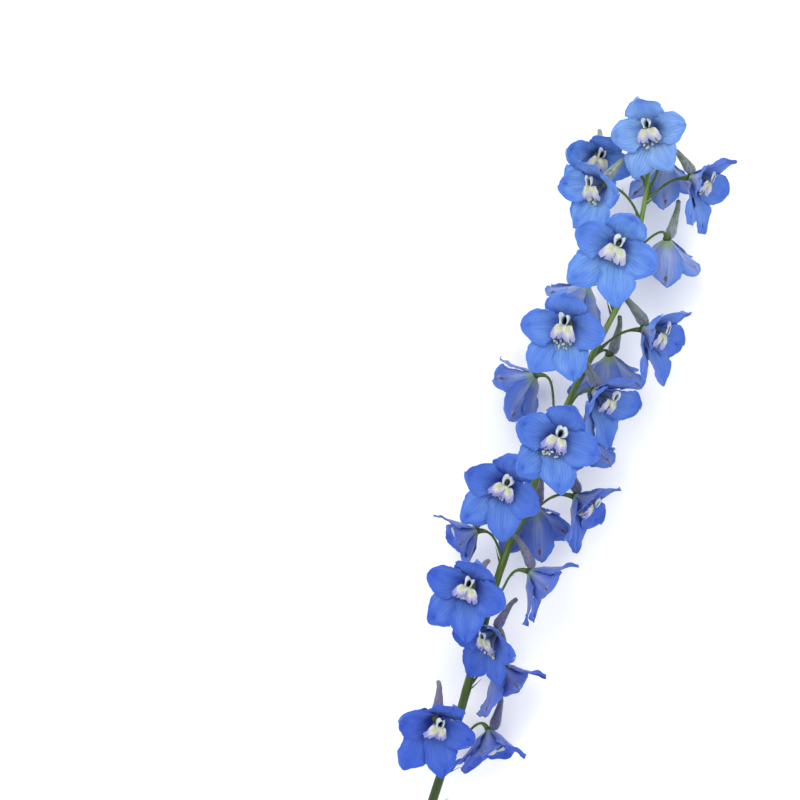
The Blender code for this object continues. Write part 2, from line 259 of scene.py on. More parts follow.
def object_noise(tree, scale, detail=3.0, roughness=0.5):
    """Noise that sits still on the object, whatever turns."""
    place = add_node(tree, "ShaderNodeTexCoord").outputs["Object"]
    return noise(tree, place, scale, detail, roughness)


def start_material(name, **shader_values):
    """A new material, its tree and its shader, with the shader's own plain values set."""
    material = bpy.data.materials.new(name)
    material.use_nodes = True
    shader = material.node_tree.nodes["Principled BSDF"]
    for socket, value in shader_values.items():
        shader.inputs[socket.replace("_", " ")].default_value = value
    return material, material.node_tree, shader


def coat(tree, shader, colour, relief=None, strength=0.3, depth=0.2 * MM):
    """Gives the shader its colour and, from a relief, its fine bumps."""
    tree.links.new(colour, shader.inputs["Base Color"])
    if relief is not None:
        bump = add_node(tree, "ShaderNodeBump", {"Height": relief, "Strength": strength, "Distance": depth})
        tree.links.new(bump.outputs[0], shader.inputs["Normal"])


helpers = (worked, times, joined, ramp, mixed, noise, object_noise, coat)
print("node helpers:", [helper.__name__ for helper in helpers])


# %% Pale matt table
TABLE_REACH = 3.0
TABLE_GAP = 0.2 * MM


def make_table():
    """A matt white sheet of card, a trace uneven, so that it isn't a computer's perfect white."""
    material, tree, shader = start_material("white_matt_card", Roughness=0.9, Specular_IOR_Level=0.2)
    coat(tree, shader, mixed(tree, object_noise(tree, 9.0, 2.0), linear("#F7F8FA"), linear("#FBFBFC")))
    mesh = bpy.data.meshes.new("table")
    form = bmesh.new()
    bmesh.ops.create_grid(form, x_segments=1, y_segments=1, size=TABLE_REACH)
    form.to_mesh(mesh)
    form.free()
    mesh.materials.append(material)
    table = bpy.data.objects.new("table", mesh)
    table.location.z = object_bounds()[0].z - TABLE_GAP
    scene.collection.objects.link(table)
    table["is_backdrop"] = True
    return table


table = make_table()
print("table top at", round(table.location.z / MM, 2), "mm")


# %% Soft light from all round
LIGHT_TARGET = (0.0, 0.05, 0.04)


def make_light(name, place, width, power, colour):
    """A square softbox that faces the spike. place and width are in metres, power is in watts."""
    data = bpy.data.lights.new(name, "AREA")
    data.size = width
    data.energy = power
    data.color = linear(colour)[:3]
    light = bpy.data.objects.new(name, data)
    light.location = place
    light.rotation_euler = (Vector(LIGHT_TARGET) - Vector(place)).to_track_quat("-Z", "Y").to_euler()
    scene.collection.objects.link(light)
    return light


world = bpy.data.worlds.new("white_studio")
world.use_nodes = True
background = world.node_tree.nodes["Background"]
background.inputs["Color"].default_value = linear("#F8FAFF")
background.inputs["Strength"].default_value = 1.3
scene.world = world
make_light("key_softbox", (-0.7, 0.6, 1.25), 0.8, 9.0, "#FFFDF8")
make_light("fill_softbox", (0.9, -0.3, 0.9), 1.2, 1.5, "#F3F7FF")
print("lights:", [item.name for item in bpy.data.lights])


# %% [markdown]
# ## Thin sheets
#
# Sepals and petals are sheets about a third of a millimetre thick with a front and a back that look quite
# different. Each is made as two grids of points, joined round the rim. The front takes one material and
# the back another. Every point also keeps where it is on its own sheet, in an attribute called place, so
# that veins can follow the petal wherever it bends. A second attribute, draw, holds the few random values
# of its flower.

# %% Two grids joined into one thin body
def thin_sheet(front, back, place, material_front=0, material_back=1):
    """Points, faces, materials and places of a closed sheet. front lies on the side of across times along."""
    rows, columns = front.shape[:2]
    count = rows * columns
    index = np.arange(count).reshape(rows, columns)
    low_left, low_right = index[:-1, :-1].ravel(), index[:-1, 1:].ravel()
    high_right, high_left = index[1:, 1:].ravel(), index[1:, :-1].ravel()
    front_faces = np.stack([low_left, low_right, high_right, high_left], axis=1)
    back_faces = front_faces[:, ::-1] + count
    rim = np.concatenate([index[0, :-1], index[:-1, -1], index[-1, :0:-1], index[:0:-1, 0]])
    after = np.roll(rim, -1)
    rim_faces = np.stack([after, rim, rim + count, after + count], axis=1)
    faces = np.concatenate([front_faces, back_faces, rim_faces])
    materials = np.concatenate([
        np.full(len(front_faces), material_front), np.full(len(back_faces), material_back),
        np.full(len(rim_faces), material_front)])
    points = np.concatenate([front.reshape(-1, 3), back.reshape(-1, 3)])
    places = np.concatenate([place.reshape(-1, 3), place.reshape(-1, 3)])
    return points, faces, materials, places


flat = np.zeros((2, 2, 3))
flat_faces = thin_sheet(flat, flat, flat)[1]
print("the smallest sheet has", len(flat_faces), "faces: a front, a back and a rim of four")


# %% Sheets joined into one object
# What would sink below this height over the table keeps only this share of its depth under it
REST_HEIGHT = 0.6 * MM
PRESSED_SHARE = 0.12


def make_piece(name, sheets, matrix, materials, draws, sharp_angle=50.0):
    """One object from several sheets, each with its own draw. place and draw become mesh attributes."""
    points, faces, indices, places, drawn, start = [], [], [], [], [], 0
    for (sheet_points, sheet_faces, sheet_materials, sheet_places), draw in zip(sheets, draws):
        points.append(sheet_points)
        faces.append(sheet_faces + start)
        indices.append(sheet_materials)
        places.append(sheet_places)
        drawn.append(np.tile(np.array(draw, np.float32), (len(sheet_points), 1)))
        start += len(sheet_points)
    points = np.concatenate(points)
    turned = points @ np.array(matrix.to_3x3()).T + np.array(matrix.translation)
    low = turned[:, 2] < REST_HEIGHT
    turned[low, 2] = REST_HEIGHT + (turned[low, 2] - REST_HEIGHT) * PRESSED_SHARE
    mesh = bpy.data.meshes.new(name)
    mesh.from_pydata(turned.tolist(), [], np.concatenate(faces).tolist())
    mesh.polygons.foreach_set("material_index", np.concatenate(indices).astype(np.int32))
    mesh.attributes.new("place", "FLOAT_VECTOR", "POINT").data.foreach_set(
        "vector", np.concatenate(places).astype(np.float32).ravel())
    mesh.attributes.new("draw", "FLOAT_VECTOR", "POINT").data.foreach_set(
        "vector", np.concatenate(drawn).ravel())
    for material in materials:
        mesh.materials.append(material)
    mesh.shade_smooth()
    mesh.set_sharp_from_angle(angle=math.radians(sharp_angle))
    mesh.update()
    piece = bpy.data.objects.new(name, mesh)
    scene.collection.objects.link(piece)
    return piece


def ease(low, high, value):
    """0 below low, 1 above high, and a soft step between."""
    share = np.clip((value - low) / (high - low), 0.0, 1.0)
    return share * share * (3.0 - 2.0 * share)


print("a soft step at a quarter, a half and three quarters:", ease(0, 1, np.array([0.25, 0.5, 0.75])))


# %% [markdown]
# ## Sepals
#
# What looks like a delphinium's petals are five sepals. The upper one leans forward as a hood, two stand
# at the sides and two longer ones hang below. The solids bend each of them over one bowl. The fine sepals
# follow that bowl exactly and add what the eye looks for: an edge that is never quite even, a shallow
# crease down the middle, a small dimple over the gland near the tip, and a tip that curls.

# %% The bowl formula of the solids, for whole arrays of points
CLAW_RADIUS = 2.2 * MM
CLAW_HEIGHT = 0.8 * MM
CLAW_HALF_WIDTH = 0.8 * MM
TIP_HALF_WIDTH = 0.9 * MM
# A larger power moves a sepal's widest place towards its tip
WIDEST_POWER = 1.85
CUPPING = 0.05
RIPPLE = 0.5 * MM
# The sepals are in their own layers from this share of their length on, and join in the hub below it
LAYER_SHARE = 0.25

# The five sepals lie on one bowl. These are its leans from the way the floret faces, at the claws and at
# the tips, in degrees. It is steep at the upper sepal, the hood, and opens over this angle to its sides
HOOD_LEANS = (20.0, 56.0)
BOWL_LEANS = (34.0, 73.0)
HOOD_SPREAD = 84.0

# A sepal's place round the floret, in degrees from the upper sepal, and its form. A larger bluntness makes
# a rounder tip, tilt opens the tip in degrees, and layer is how far it lies in front of the bowl
Sepal = namedtuple("Sepal", "around length half_width bluntness tilt layer")
SEPALS = [
    Sepal(around=0, length=28.5 * MM, half_width=11.0 * MM, bluntness=0.4, tilt=0.0, layer=-1.85 * MM),
    Sepal(around=92, length=28 * MM, half_width=12.0 * MM, bluntness=0.55, tilt=0.0, layer=0.0),
    Sepal(around=-92, length=28 * MM, half_width=12.0 * MM, bluntness=0.55, tilt=0.0, layer=0.0),
    Sepal(around=155, length=35 * MM, half_width=10.4 * MM, bluntness=0.4, tilt=0.0, layer=-1.85 * MM),
    Sepal(around=-155, length=35 * MM, half_width=10.4 * MM, bluntness=0.4, tilt=0.0, layer=-3.7 * MM),
]


def sepal_half_width(sepal, along):
    blade = np.abs(np.sin(np.pi * along ** WIDEST_POWER)) ** (1.1 - sepal.bluntness * along)
    return sepal.half_width * blade + CLAW_HALF_WIDTH * (1 - along) ** 2 + TIP_HALF_WIDTH * along ** 6


def bowl(sepal, along, around):
    """The bowl's radius, height and lean at shares along a sepal, in directions round the floret."""
    side = ease(0.0, math.radians(HOOD_SPREAD), np.abs(around))
    start = np.radians(HOOD_LEANS[0] + (BOWL_LEANS[0] - HOOD_LEANS[0]) * side)
    opening = np.radians(HOOD_LEANS[1] + (BOWL_LEANS[1] - HOOD_LEANS[1]) * side + sepal.tilt) - start
    lean = start + opening * along
    radius = CLAW_RADIUS + sepal.length * (np.cos(start) - np.cos(lean)) / opening
    height = CLAW_HEIGHT + sepal.length * (np.sin(lean) - np.sin(start)) / opening
    return radius, height, lean


def bowl_points(sepal, along, around, lift):
    """Points of the bowl, lifted off it towards its inside."""
    radius, height, lean = bowl(sepal, along, around)
    reach = radius - lift * np.cos(lean)
    return np.stack([np.sin(around) * reach, np.cos(around) * reach, height + lift * np.sin(lean)], axis=-1)


for sepal in SEPALS[:2] + SEPALS[3:4]:
    print("sepal at", sepal.around, "degrees:", sepal.length / MM, "mm long, bowl radius at its tip",
          round(bowl(sepal, 1.0, math.radians(sepal.around))[0] / MM, 1), "mm")


# %% The outline of a fine sepal
SEPAL_COLUMNS = 22
# The steps along a sepal are closer near its tip, where the outline turns
SEPAL_STEPS = np.concatenate([np.linspace(0.0, 0.9, 27), np.linspace(0.9, 1.0, 9)[1:]])
# Near their feet the sepals are wide enough, against the bowl's radius, to close the flower: first the three
# upper ones, which stand further apart, then the two lower ones
CLOSING = (1.0, 0.78)
# A sepal that stands further round than this, in degrees, is one of the two lower ones
LOWER_PAIR = 120
# The tip is rounded from this share on, over this span
TIP_START = 0.97
TIP_SPAN = 0.0304
# An edge strays in and out by waves of this height, waves along the sepal and turns of its own draw
EDGE_WAVES = [(1.0, 2.1, 1), (0.6, 4.7, 3), (0.5, 10.3, 5), (0.3, 14.3, 7)]
EDGE_DEPTH = 0.05


def closed_half_width(sepal, along):
    """Half a sepal's width, as the solid's but wide enough at the foot to reach its neighbours."""
    reach = CLOSING[abs(sepal.around) > LOWER_PAIR] * bowl(sepal, along, math.radians(sepal.around))[0]
    closing = reach * (1 - ease(0.4, 0.72, along)) * ease(-0.1, 0.08, along)
    return np.maximum(sepal_half_width(sepal, along), closing)


def ragged_edge(half, along, across, side):
    """Where the edge lies, rounded at the tip and never quite even. side is the draw of its own edge."""
    rounding = np.sqrt(np.clip(1.0 - (np.clip(along - TIP_START, 0.0, 1.0) / TIP_SPAN) ** 2, 0.02, 1.0))
    uneven = sum(height * np.sin(2 * np.pi * (waves * along + turns * side))
                 for height, waves, turns in EDGE_WAVES)
    return half * rounding * (1 + EDGE_DEPTH * uneven * np.abs(across) ** 2 * ease(0.2, 0.5, along))


for sepal in SEPALS[:2] + SEPALS[3:4]:
    widest = 2 * closed_half_width(sepal, SEPAL_STEPS).max()
    print("sepal at", sepal.around, "degrees is", round(widest / MM, 1), "mm wide")


# %% The relief of a fine sepal
SEPAL_THICKNESS = 0.34 * MM
# The tip runs out in a small point, longer than the sepal by this share
POINT = 0.045
# The gland lies at this share of the length, a little further by its own draw, and up to half the sway aside
GLAND_SHARE = 0.83
GLAND_SPREAD = 0.05
GLAND_SWAY = 1.6 * MM
GLAND_RADIUS = 1.7 * MM
DIMPLE = 1.0 * MM
CREASE = 0.4 * MM
CREASE_WIDTH = 0.9 * MM
# The margin waves out of the sheet in long and in short waves
LONG_WAVE = 0.8 * MM
SHORT_WAVE = 0.25 * MM
TWIST = 1.5 * MM
# A rolled edge bends back by a draw between these, or forward where the draw is below zero
ROLL = (-0.4 * MM, 2.4 * MM)
FOLDS = 3
FOLD_DEPTH = 0.75 * MM
FOLD_WIDTH = 0.12
# The tip of the hood, which stands less than this angle from the top, curls in more than the others
HOOD_SIDE = 60
HOOD_CURL = (1.2 * MM, 2.6 * MM)
OTHER_CURL = (0.0, 1.5 * MM)


def margin_waves(along, outer, phase, side):
    """The waves of the margin: the solid's own ripple, long waves and short ones."""
    ripple = RIPPLE * along * outer ** 3 * np.sin(2 * np.pi * (1.6 * along + phase))
    long_waves = LONG_WAVE * along * outer ** 3 * np.sin(2 * np.pi * (2.9 * along + side))
    short_waves = SHORT_WAVE * along * outer ** 5 * np.sin(2 * np.pi * (7.3 * along + 4 * side))
    return ripple + long_waves + short_waves


def gland_and_crease(sepal, along, off_middle, seed):
    """How deep the dimple over the gland and the crease along the middle are."""
    aside = off_middle - (seed - 0.5) * GLAND_SWAY
    ahead = (along - GLAND_SHARE - GLAND_SPREAD * seed) * sepal.length
    dimple = DIMPLE * np.exp(-(aside ** 2 + ahead ** 2) / GLAND_RADIUS ** 2)
    crease_reach = ease(0.05, 0.3, along) * (1 - 0.6 * ease(0.7, 0.95, along))
    return dimple + CREASE * np.exp(-(off_middle / CREASE_WIDTH) ** 2) * crease_reach


def fine_sepal(sepal, phase, seed, fine):
    """The front and back of one sepal, with a seeded draw for its edge, twist, folds and tip."""
    along = SEPAL_STEPS[:, None]
    across = np.linspace(-1.0, 1.0, SEPAL_COLUMNS + 1)[None, :]
    outer = np.abs(across)
    middle = math.radians(sepal.around)
    half = closed_half_width(sepal, along)
    left_draw, right_draw = fine.random(), fine.random()
    side = np.where(across < 0, left_draw, right_draw)
    edge = ragged_edge(half, along, across, side)
    around = middle + edge * across / bowl(sepal, along, middle)[0]
    lift = sepal.layer * np.minimum(along / LAYER_SHARE, 1.0) + CUPPING * half * across ** 2
    lift = lift + margin_waves(along, outer, phase, side)
    lift = lift + fine.uniform(-TWIST, TWIST) * across * along ** 2
    for edge_side in (across, -across):
        rolled = fine.uniform(*ROLL) * ease(0.6, 1.0, edge_side)
        lift = lift - rolled * ease(0.3, 0.7, along + fine.uniform(-0.15, 0.1))
    lift = lift - gland_and_crease(sepal, along, edge * across, seed)
    for _ in range(FOLDS):
        fold = (across - fine.uniform(-0.8, 0.8) * ease(0.0, 0.9, along)) / FOLD_WIDTH
        lift = lift + fine.uniform(-FOLD_DEPTH, FOLD_DEPTH) * np.exp(-fold ** 2) * ease(0.15, 0.6, along)
    curl = HOOD_CURL if abs(sepal.around) < HOOD_SIDE else OTHER_CURL
    lift = lift + fine.uniform(*curl) * ease(0.84, 1.0, along) ** 2
    thickness = SEPAL_THICKNESS * (1.0 - 0.4 * outer ** 2) * (1.0 - 0.3 * along)
    reach = along + POINT * ease(0.95, 1.0, along)
    front = bowl_points(sepal, reach, around, lift + thickness / 2)
    back = bowl_points(sepal, reach, around, lift - thickness / 2)
    place = np.stack([across + 0 * along, along + 0 * across, edge / MM + 0 * across], axis=-1)
    return thin_sheet(front, back, place)


print("one fine sepal:", len(fine_sepal(SEPALS[0], 0.0, 0.5, random.Random(SEED))[1]), "faces")


# %% [markdown]
# ## The look of a sepal
#
# A sepal is living tissue: satin rather than glossy, a little see-through, and packed with fine veins
# that fan out from its narrow foot. Its inside is sky blue with deeper cobalt towards the edge and a dark
# smudge where the gland sits behind. Its lighter middle and its pale specks are partly painted highlight,
# and painted shade darkens it towards the foot. The outside is paler and more lavender, with a whitish
# streak up its middle, a green foot, and an olive gland with a pinkish ring. Two materials do this, both
# steered by the place attribute.

# %% Veins, streaks and glands
MEAN_SEPAL_LENGTH = 31.0 * MM
Spot = namedtuple("Spot", "across along third tone violet seed")


def read_spot(tree):
    """Where a point is on its own sheet and what its flower drew. third is the half width in mm on a sepal,
    and 1 at the foot of an upper petal of the eye."""
    parts = []
    for attribute in ("place", "draw"):
        value = add_node(tree, "ShaderNodeAttribute", attribute_name=attribute).outputs["Vector"]
        parts.extend(add_node(tree, "ShaderNodeSeparateXYZ", {0: value}).outputs)
    return Spot(*parts)


def vein_field(tree, spot, veins, wander):
    """A value near 1 on the veins that fan out with the sheet, and near 0 between them. The finest are drawn
    coarser than life, because at their true width they would be lost in a picture."""
    drift = noise(tree, joined(tree, spot.across, spot.along, spot.seed), 4.0)
    wandering = worked(tree, "MULTIPLY_ADD", drift, wander, times(tree, spot.across, veins))
    share = worked(tree, "FRACT", wandering)
    away = worked(tree, "ABSOLUTE", worked(tree, "SUBTRACT", share, 0.5))
    return ramp(tree, away, 0.0, 0.17, 1.0, 0.0)


def streak_field(tree, spot, fineness):
    """Soft lengthwise streaks between the veins, from noise that is drawn out along the sheet."""
    place = joined(tree, times(tree, spot.across, fineness), spot.along, times(tree, spot.seed, 37.0))
    return noise(tree, place, 1.6, 3.0, 0.6)


def gland_field(tree, spot, radius, stretch):
    """1 on the gland near the tip and 0 beyond its radius, in mm. stretch draws it out along the sheet."""
    shift = worked(tree, "MULTIPLY_ADD", spot.seed, -GLAND_SWAY / MM, GLAND_SWAY / MM / 2)
    sideways = worked(tree, "MULTIPLY_ADD", spot.across, spot.third, shift)
    centre = worked(tree, "MULTIPLY_ADD", spot.seed, GLAND_SPREAD, GLAND_SHARE)
    lengthways = times(tree, worked(tree, "SUBTRACT", spot.along, centre), MEAN_SEPAL_LENGTH / MM / stretch)
    flat_place = joined(tree, sideways, lengthways, 0.0)
    distance = add_node(tree, "ShaderNodeVectorMath", {0: flat_place}, operation="LENGTH").outputs["Value"]
    ragged = noise(tree, joined(tree, sideways, lengthways, spot.seed), 0.9)
    wobbly = worked(tree, "MULTIPLY_ADD", ragged, -1.1 * radius, distance)
    return ramp(tree, wobbly, -0.35 * radius, 0.45 * radius, 1.0, 0.0)


def fibre_relief(tree, streaks, share, veins):
    """The relief of living tissue: raised veins with softer streaks between them."""
    return worked(tree, "MULTIPLY_ADD", streaks, share, veins)


print("a gland lies", round(GLAND_SHARE * MEAN_SEPAL_LENGTH / MM, 1), "mm from the foot of a middling sepal")


# %% Satin blue inside of the sepals
def make_sepal_face():
    """Living sepal, inner side: satin, sky blue, deeper at the edge. Painted highlight lightens its middle
    and painted shade darkens its foot. It glows softly and has no gloss.
    """
    material, tree, shader = start_material(
        "sepal_inside_satin_blue", Roughness=0.52, IOR=1.4, Sheen_Weight=0.05, Sheen_Roughness=0.4,
        Subsurface_Weight=0.2, Subsurface_Scale=0.0012, Subsurface_Radius=(0.35, 0.55, 1.0),
        Specular_IOR_Level=0.2)
    spot = read_spot(tree)
    streaks = streak_field(tree, spot, 7.0)
    veins = vein_field(tree, spot, 5.5, 1.1)
    hairlines = vein_field(tree, spot, 13.0, 1.6)
    # Own tone and painted highlight: lighter in the middle, deeper towards the edge and tip, in soft patches
    patches = noise(tree, joined(tree, spot.across, spot.along, spot.seed), 2.2, 1.0)
    reach = worked(tree, "MULTIPLY_ADD", times(tree, spot.across, spot.across), 0.45,
                   worked(tree, "POWER", spot.along, 3.0))
    tone_and_painted_highlight = worked(tree, "MULTIPLY_ADD", patches, 1.5, reach)
    ground = mixed(tree, ramp(tree, tone_and_painted_highlight, 0.5, 1.7), petal("#A4D2FB"), petal("#6C9CEE"))
    toned = mixed(tree, times(tree, spot.tone, 0.8), ground, petal("#6488E3"))
    paled = mixed(tree, ramp(tree, spot.tone, -0.5, 0.0, 0.4, 0.0), toned, petal("#BDD6F0"))
    streaked = mixed(tree, ramp(tree, streaks, 0.42, 0.72, 0.0, 0.4), paled, petal("#5580DE"))
    veined = mixed(tree, times(tree, veins, 0.24), streaked, petal("#4468CC"))
    lined = mixed(tree, times(tree, hairlines, 0.16), veined, petal("#3E62C8"))
    # Pale specks: painted glints, with some whitish dust on the tissue
    glints_and_dust = ramp(tree, object_noise(tree, 2600.0, 2.0), 0.55, 0.75, 0.0, 0.3)
    glinted_and_dusted = mixed(tree, glints_and_dust, lined, petal("#A9CBF6"))
    # Painted shade: the sepal darkens towards its foot, deep in the cup round the eye
    throat = mixed(tree, ramp(tree, spot.along, 0.08, 0.4, 0.7, 0.0), glinted_and_dusted, petal("#4B69C2"))
    marked = ramp(tree, spot.seed, 0.45, 1.0, 0.05, 0.6)
    smudge = times(tree, gland_field(tree, spot, 1.7, 1.7), marked)
    smudged = mixed(tree, smudge, throat, petal("#3F63C4"))
    core = times(tree, gland_field(tree, spot, 0.7, 1.9), marked)
    spotted = mixed(tree, core, smudged, petal("#28408F"))
    older = mixed(tree, spot.violet, spotted, petal("#2743C2"))
    coat(tree, shader, older, fibre_relief(tree, streaks, 0.6, veins), 0.45, 0.3 * MM)
    return material


sepal_face = make_sepal_face()
print(sepal_face.name, "has", len(sepal_face.node_tree.nodes), "nodes")


# %% Lavender outside of the sepals
def make_sepal_back():
    """Living sepal, outer side: paler, with a whitish streak, a green foot and an olive gland by the tip."""
    material, tree, shader = start_material(
        "sepal_outside_lavender", Roughness=0.6, IOR=1.4, Sheen_Weight=0.15, Sheen_Roughness=0.5,
        Subsurface_Weight=0.2, Subsurface_Scale=0.0012, Subsurface_Radius=(0.4, 0.55, 1.0),
        Specular_IOR_Level=0.25)
    spot = read_spot(tree)
    streaks = streak_field(tree, spot, 5.0)
    veins = vein_field(tree, spot, 4.5, 0.5)
    hairlines = vein_field(tree, spot, 11.0, 0.8)
    out_square = times(tree, spot.across, spot.across)
    aged = ramp(tree, spot.violet, 0.05, 0.3)
    middle = mixed(tree, aged, petal("#A8B5EA"), petal("#8299E6"))
    margin = mixed(tree, aged, petal("#7698E6"), petal("#587EE4"))
    ground = mixed(tree, ramp(tree, out_square, 0.1, 0.9), middle, margin)
    near_middle = ramp(tree, out_square, 0.0, 0.2, 1.0, 0.0)
    near_foot = ramp(tree, spot.along, 0.3, 0.95, 0.85, 0.0)
    paled = mixed(tree, times(tree, near_middle, near_foot), ground, petal("#C2CFEE"))
    near_tip = ramp(tree, spot.along, 0.3, 0.85, 0.0, 0.8)
    near_margin = ramp(tree, out_square, 0.0, 0.6, 0.3, 1.0)
    skyward = mixed(tree, times(tree, near_tip, near_margin), paled, petal("#659BF0"))
    streaked = mixed(tree, ramp(tree, streaks, 0.4, 0.66, 0.0, 0.4), skyward, petal("#748AD8"))
    veined = mixed(tree, times(tree, veins, 0.22), streaked, petal("#5F74CC"))
    lined = mixed(tree, times(tree, hairlines, 0.12), veined, petal("#4A5CB8"))
    midrib = ramp(tree, out_square, 0.0, 0.012, 1.0, 0.0)
    rising = ramp(tree, spot.along, 0.5, 0.8, 0.0, 0.55)
    ribbed = mixed(tree, times(tree, midrib, rising), lined, petal("#6C7C5E"))
    foot = mixed(tree, ramp(tree, veins, 0.2, 0.8), petal("#B9CC86"), petal("#7E9A52"))
    footed = mixed(tree, ramp(tree, spot.along, 0.05, 0.28, 0.85, 0.0), ribbed, foot)
    older = mixed(tree, times(tree, spot.violet, 0.6), footed, petal("#4650B8"))
    haloed = mixed(tree, times(tree, gland_field(tree, spot, 2.7, 1.4), 0.66), older, petal("#BFA3D6"))
    glanded = mixed(tree, times(tree, gland_field(tree, spot, 1.6, 1.8), 0.92), haloed, petal("#414F24"))
    coat(tree, shader, glanded, fibre_relief(tree, streaks, 0.5, veins), 0.45, 0.3 * MM)
    return material


sepal_back = make_sepal_back()
print(sepal_back.name, "has", len(sepal_back.node_tree.nodes), "nodes")


# %% Five sepals for every floret
# Seeds of a flower's tone and of its fine forms. Where its sepals stand is drawn with the seed of the solids
TONE_SEED = 500
EDGE_SEED = 900
# The first florets are hardly violet, and the others deepen down to the last
YOUNG_FLORETS = 6
MOST_VIOLET = 0.76
# How pale and cyan the youngest florets are
YOUTH = {1: 0.9, 2: 0.2, 3: 0.2, 6: 0.5, 7: 0.15}


def flower_draw(number):
    """Tone, violet and seed of a floret. The oldest flowers, at the foot of the spike, are a deeper blue."""
    chance = random.Random(TONE_SEED + number)
    age = max(0.0, (number - YOUNG_FLORETS) / (len(FLORETS) - YOUNG_FLORETS))
    tone = chance.uniform(0.0, 1.0)
    violet = min(MOST_VIOLET, 0.72 * age ** 1.3 + chance.uniform(0.0, 0.05))
    return tone, violet, chance.random()


def facing_aside(floret):
    """1 for a floret that faces sideways, and 0 for one that faces up or away."""
    turn = abs(floret.turn)
    return float(ease(30.0, 60.0, turn) * (1 - ease(100.0, 125.0, turn)))


def make_sepals(number, floret):
    """Five sepals, turned, stretched and opened by the same draws as in the solids."""
    draw = random.Random(SEED + number)
    fine = random.Random(EDGE_SEED + number)
    tone, violet, _ = flower_draw(number)
    youth = YOUTH.get(number, 0.0)
    # Painted shade: the florets that face aside, away from the light, are drawn a deeper blue and more violet
    aside = facing_aside(floret)
    violet = min(MOST_VIOLET, violet + 0.13 * aside)
    sheets, draws = [], []
    for sepal in SEPALS:
        shape = sepal._replace(
            around=sepal.around + draw.uniform(-3, 3),
            length=sepal.length * draw.uniform(0.96, 1.05),
            tilt=draw.uniform(-7, 3),
        )
        seed = fine.random()
        upper_tone = 0.0 if abs(sepal.around) > LOWER_PAIR else 0.3
        # The upper sepals' deeper tone is their own. The share from facing aside is painted shade
        tone_with_painted_shade = 0.3 * tone + fine.uniform(0.0, 0.25) + upper_tone + 0.25 * aside
        sheets.append(fine_sepal(shape, draw.random(), seed, fine))
        draws.append((tone_with_painted_shade * (1 - youth) - 0.5 * youth ** 2, violet, seed))
    piece = make_piece(f"sepals_{number:02d}", sheets, floret_matrix(floret), [sepal_face, sepal_back], draws)
    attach(piece, "root")
    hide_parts(f"calyx_{number:02d}")
    return piece


sepals = [make_sepals(number, floret) for number, floret in enumerate(FLORETS, start=1)]
print("sepals:", len(sepals), "pieces,", sum(len(piece.data.polygons) for piece in sepals), "faces")

# %% [markdown]
# ## Spur and receptacle
#
# Behind the upper sepal runs a hollow spur, grey green and felted, wrinkled lengthways and blunt at its
# end. All five sepals and the stalk meet in a small dark green receptacle. Both are skins round a line,
# so one function sweeps a ring along a path; each ring may have its own size, and a wrinkle turns with
# it.

# %% A ring swept along a path
def swept_skin(path, radii, sides, wrinkle, phase):
    """A closed skin round a path. place holds the turn and the share along."""
    count = len(path)
    tangents = np.gradient(path, axis=0)
    tangents /= np.linalg.norm(tangents, axis=1)[:, None]
    side_way = np.tile(np.array([1.0, 0.0, 0.0]), (count, 1))
    side_way -= tangents * np.sum(side_way * tangents, axis=1)[:, None]
    side_way /= np.linalg.norm(side_way, axis=1)[:, None]
    up_way = np.cross(tangents, side_way)
    turn = np.linspace(0.0, 2 * np.pi, sides, endpoint=False)[None, :]
    share = np.linspace(0.0, 1.0, count)[:, None]
    folds = np.sin(5 * turn + 1.5 * share + phase) + 0.6 * np.sin(9 * turn - 4 * share + 2 * phase)
    dents = np.sin(23 * share + 3 * np.sin(turn + phase)) * np.sin(2 * turn + phase)
    reach = radii[:, None] * (1 + wrinkle * folds * ease(0.0, 0.25, share) + 0.5 * wrinkle * dents)
    rings = path[:, None, :] + reach[..., None] * (
        np.cos(turn)[..., None] * side_way[:, None, :] + np.sin(turn)[..., None] * up_way[:, None, :])
    index = np.arange(count * sides).reshape(count, sides)
    beside = np.roll(index, -1, axis=1)
    quads = np.stack([index[:-1].ravel(), beside[:-1].ravel(), beside[1:].ravel(), index[1:].ravel()], axis=1)
    places = np.stack([turn + 0 * share, share + 0 * turn, 0 * share + 0 * turn], axis=-1).reshape(-1, 3)
    return rings.reshape(-1, 3), quads, np.zeros(len(quads), int), places


# %% The skins of a spur and a receptacle
SPUR_START = np.array([0.0, 2.5, 1.9]) * MM
SPUR_LEAN = math.radians(145)
SPUR_LENGTH = 25.7 * MM
SPUR_BEND = 2.2 * MM
SPUR_HOOK = 2.3 * MM
SPUR_SWAY = 1.2 * MM
SPUR_RADII = [4.3 * MM, 3.0 * MM, 1.9 * MM, 1.15 * MM]
SPUR_WRINKLE = 0.065
SPUR_SIDES = 20
SPUR_RINGS = 44
RECEPTACLE_RADIUS = 2.8 * MM
RECEPTACLE_DEPTH = 2.2 * MM
RECEPTACLE_HEIGHT = 0.8 * MM
RECEPTACLE_WRINKLE = 0.04


def spur_skin(fine):
    """The spur's skin, from inside the receptacle to a blunt tip that hooks back."""
    way = np.array([0.0, math.sin(SPUR_LEAN), math.cos(SPUR_LEAN)])
    side = np.array([0.0, way[2], -way[1]])
    share = np.linspace(0.0, 1.0, SPUR_RINGS)
    bend = SPUR_BEND * share ** 2 + SPUR_HOOK * ease(0.66, 1.0, share) ** 2
    path = SPUR_START + way * (SPUR_LENGTH * share)[:, None] + side * bend[:, None]
    path[:, 0] += fine.uniform(-SPUR_SWAY, SPUR_SWAY) * share ** 2
    radii = np.interp(share, np.linspace(0, 1, len(SPUR_RADII)), SPUR_RADII)
    swelling = 1 + 0.16 * ease(0.86, 0.95, share)
    closing = np.sqrt(np.clip(1 - ((share - 0.955) / 0.045).clip(0, 1) ** 2, 0.0004, 1))
    opening = (0.66 + 0.34 * ease(0.0, 0.22, share)) * np.sqrt(np.clip(share / 0.06, 0.01, 1))
    radii = radii * swelling * closing * opening
    return swept_skin(path, radii, SPUR_SIDES, SPUR_WRINKLE, fine.uniform(0, 6))


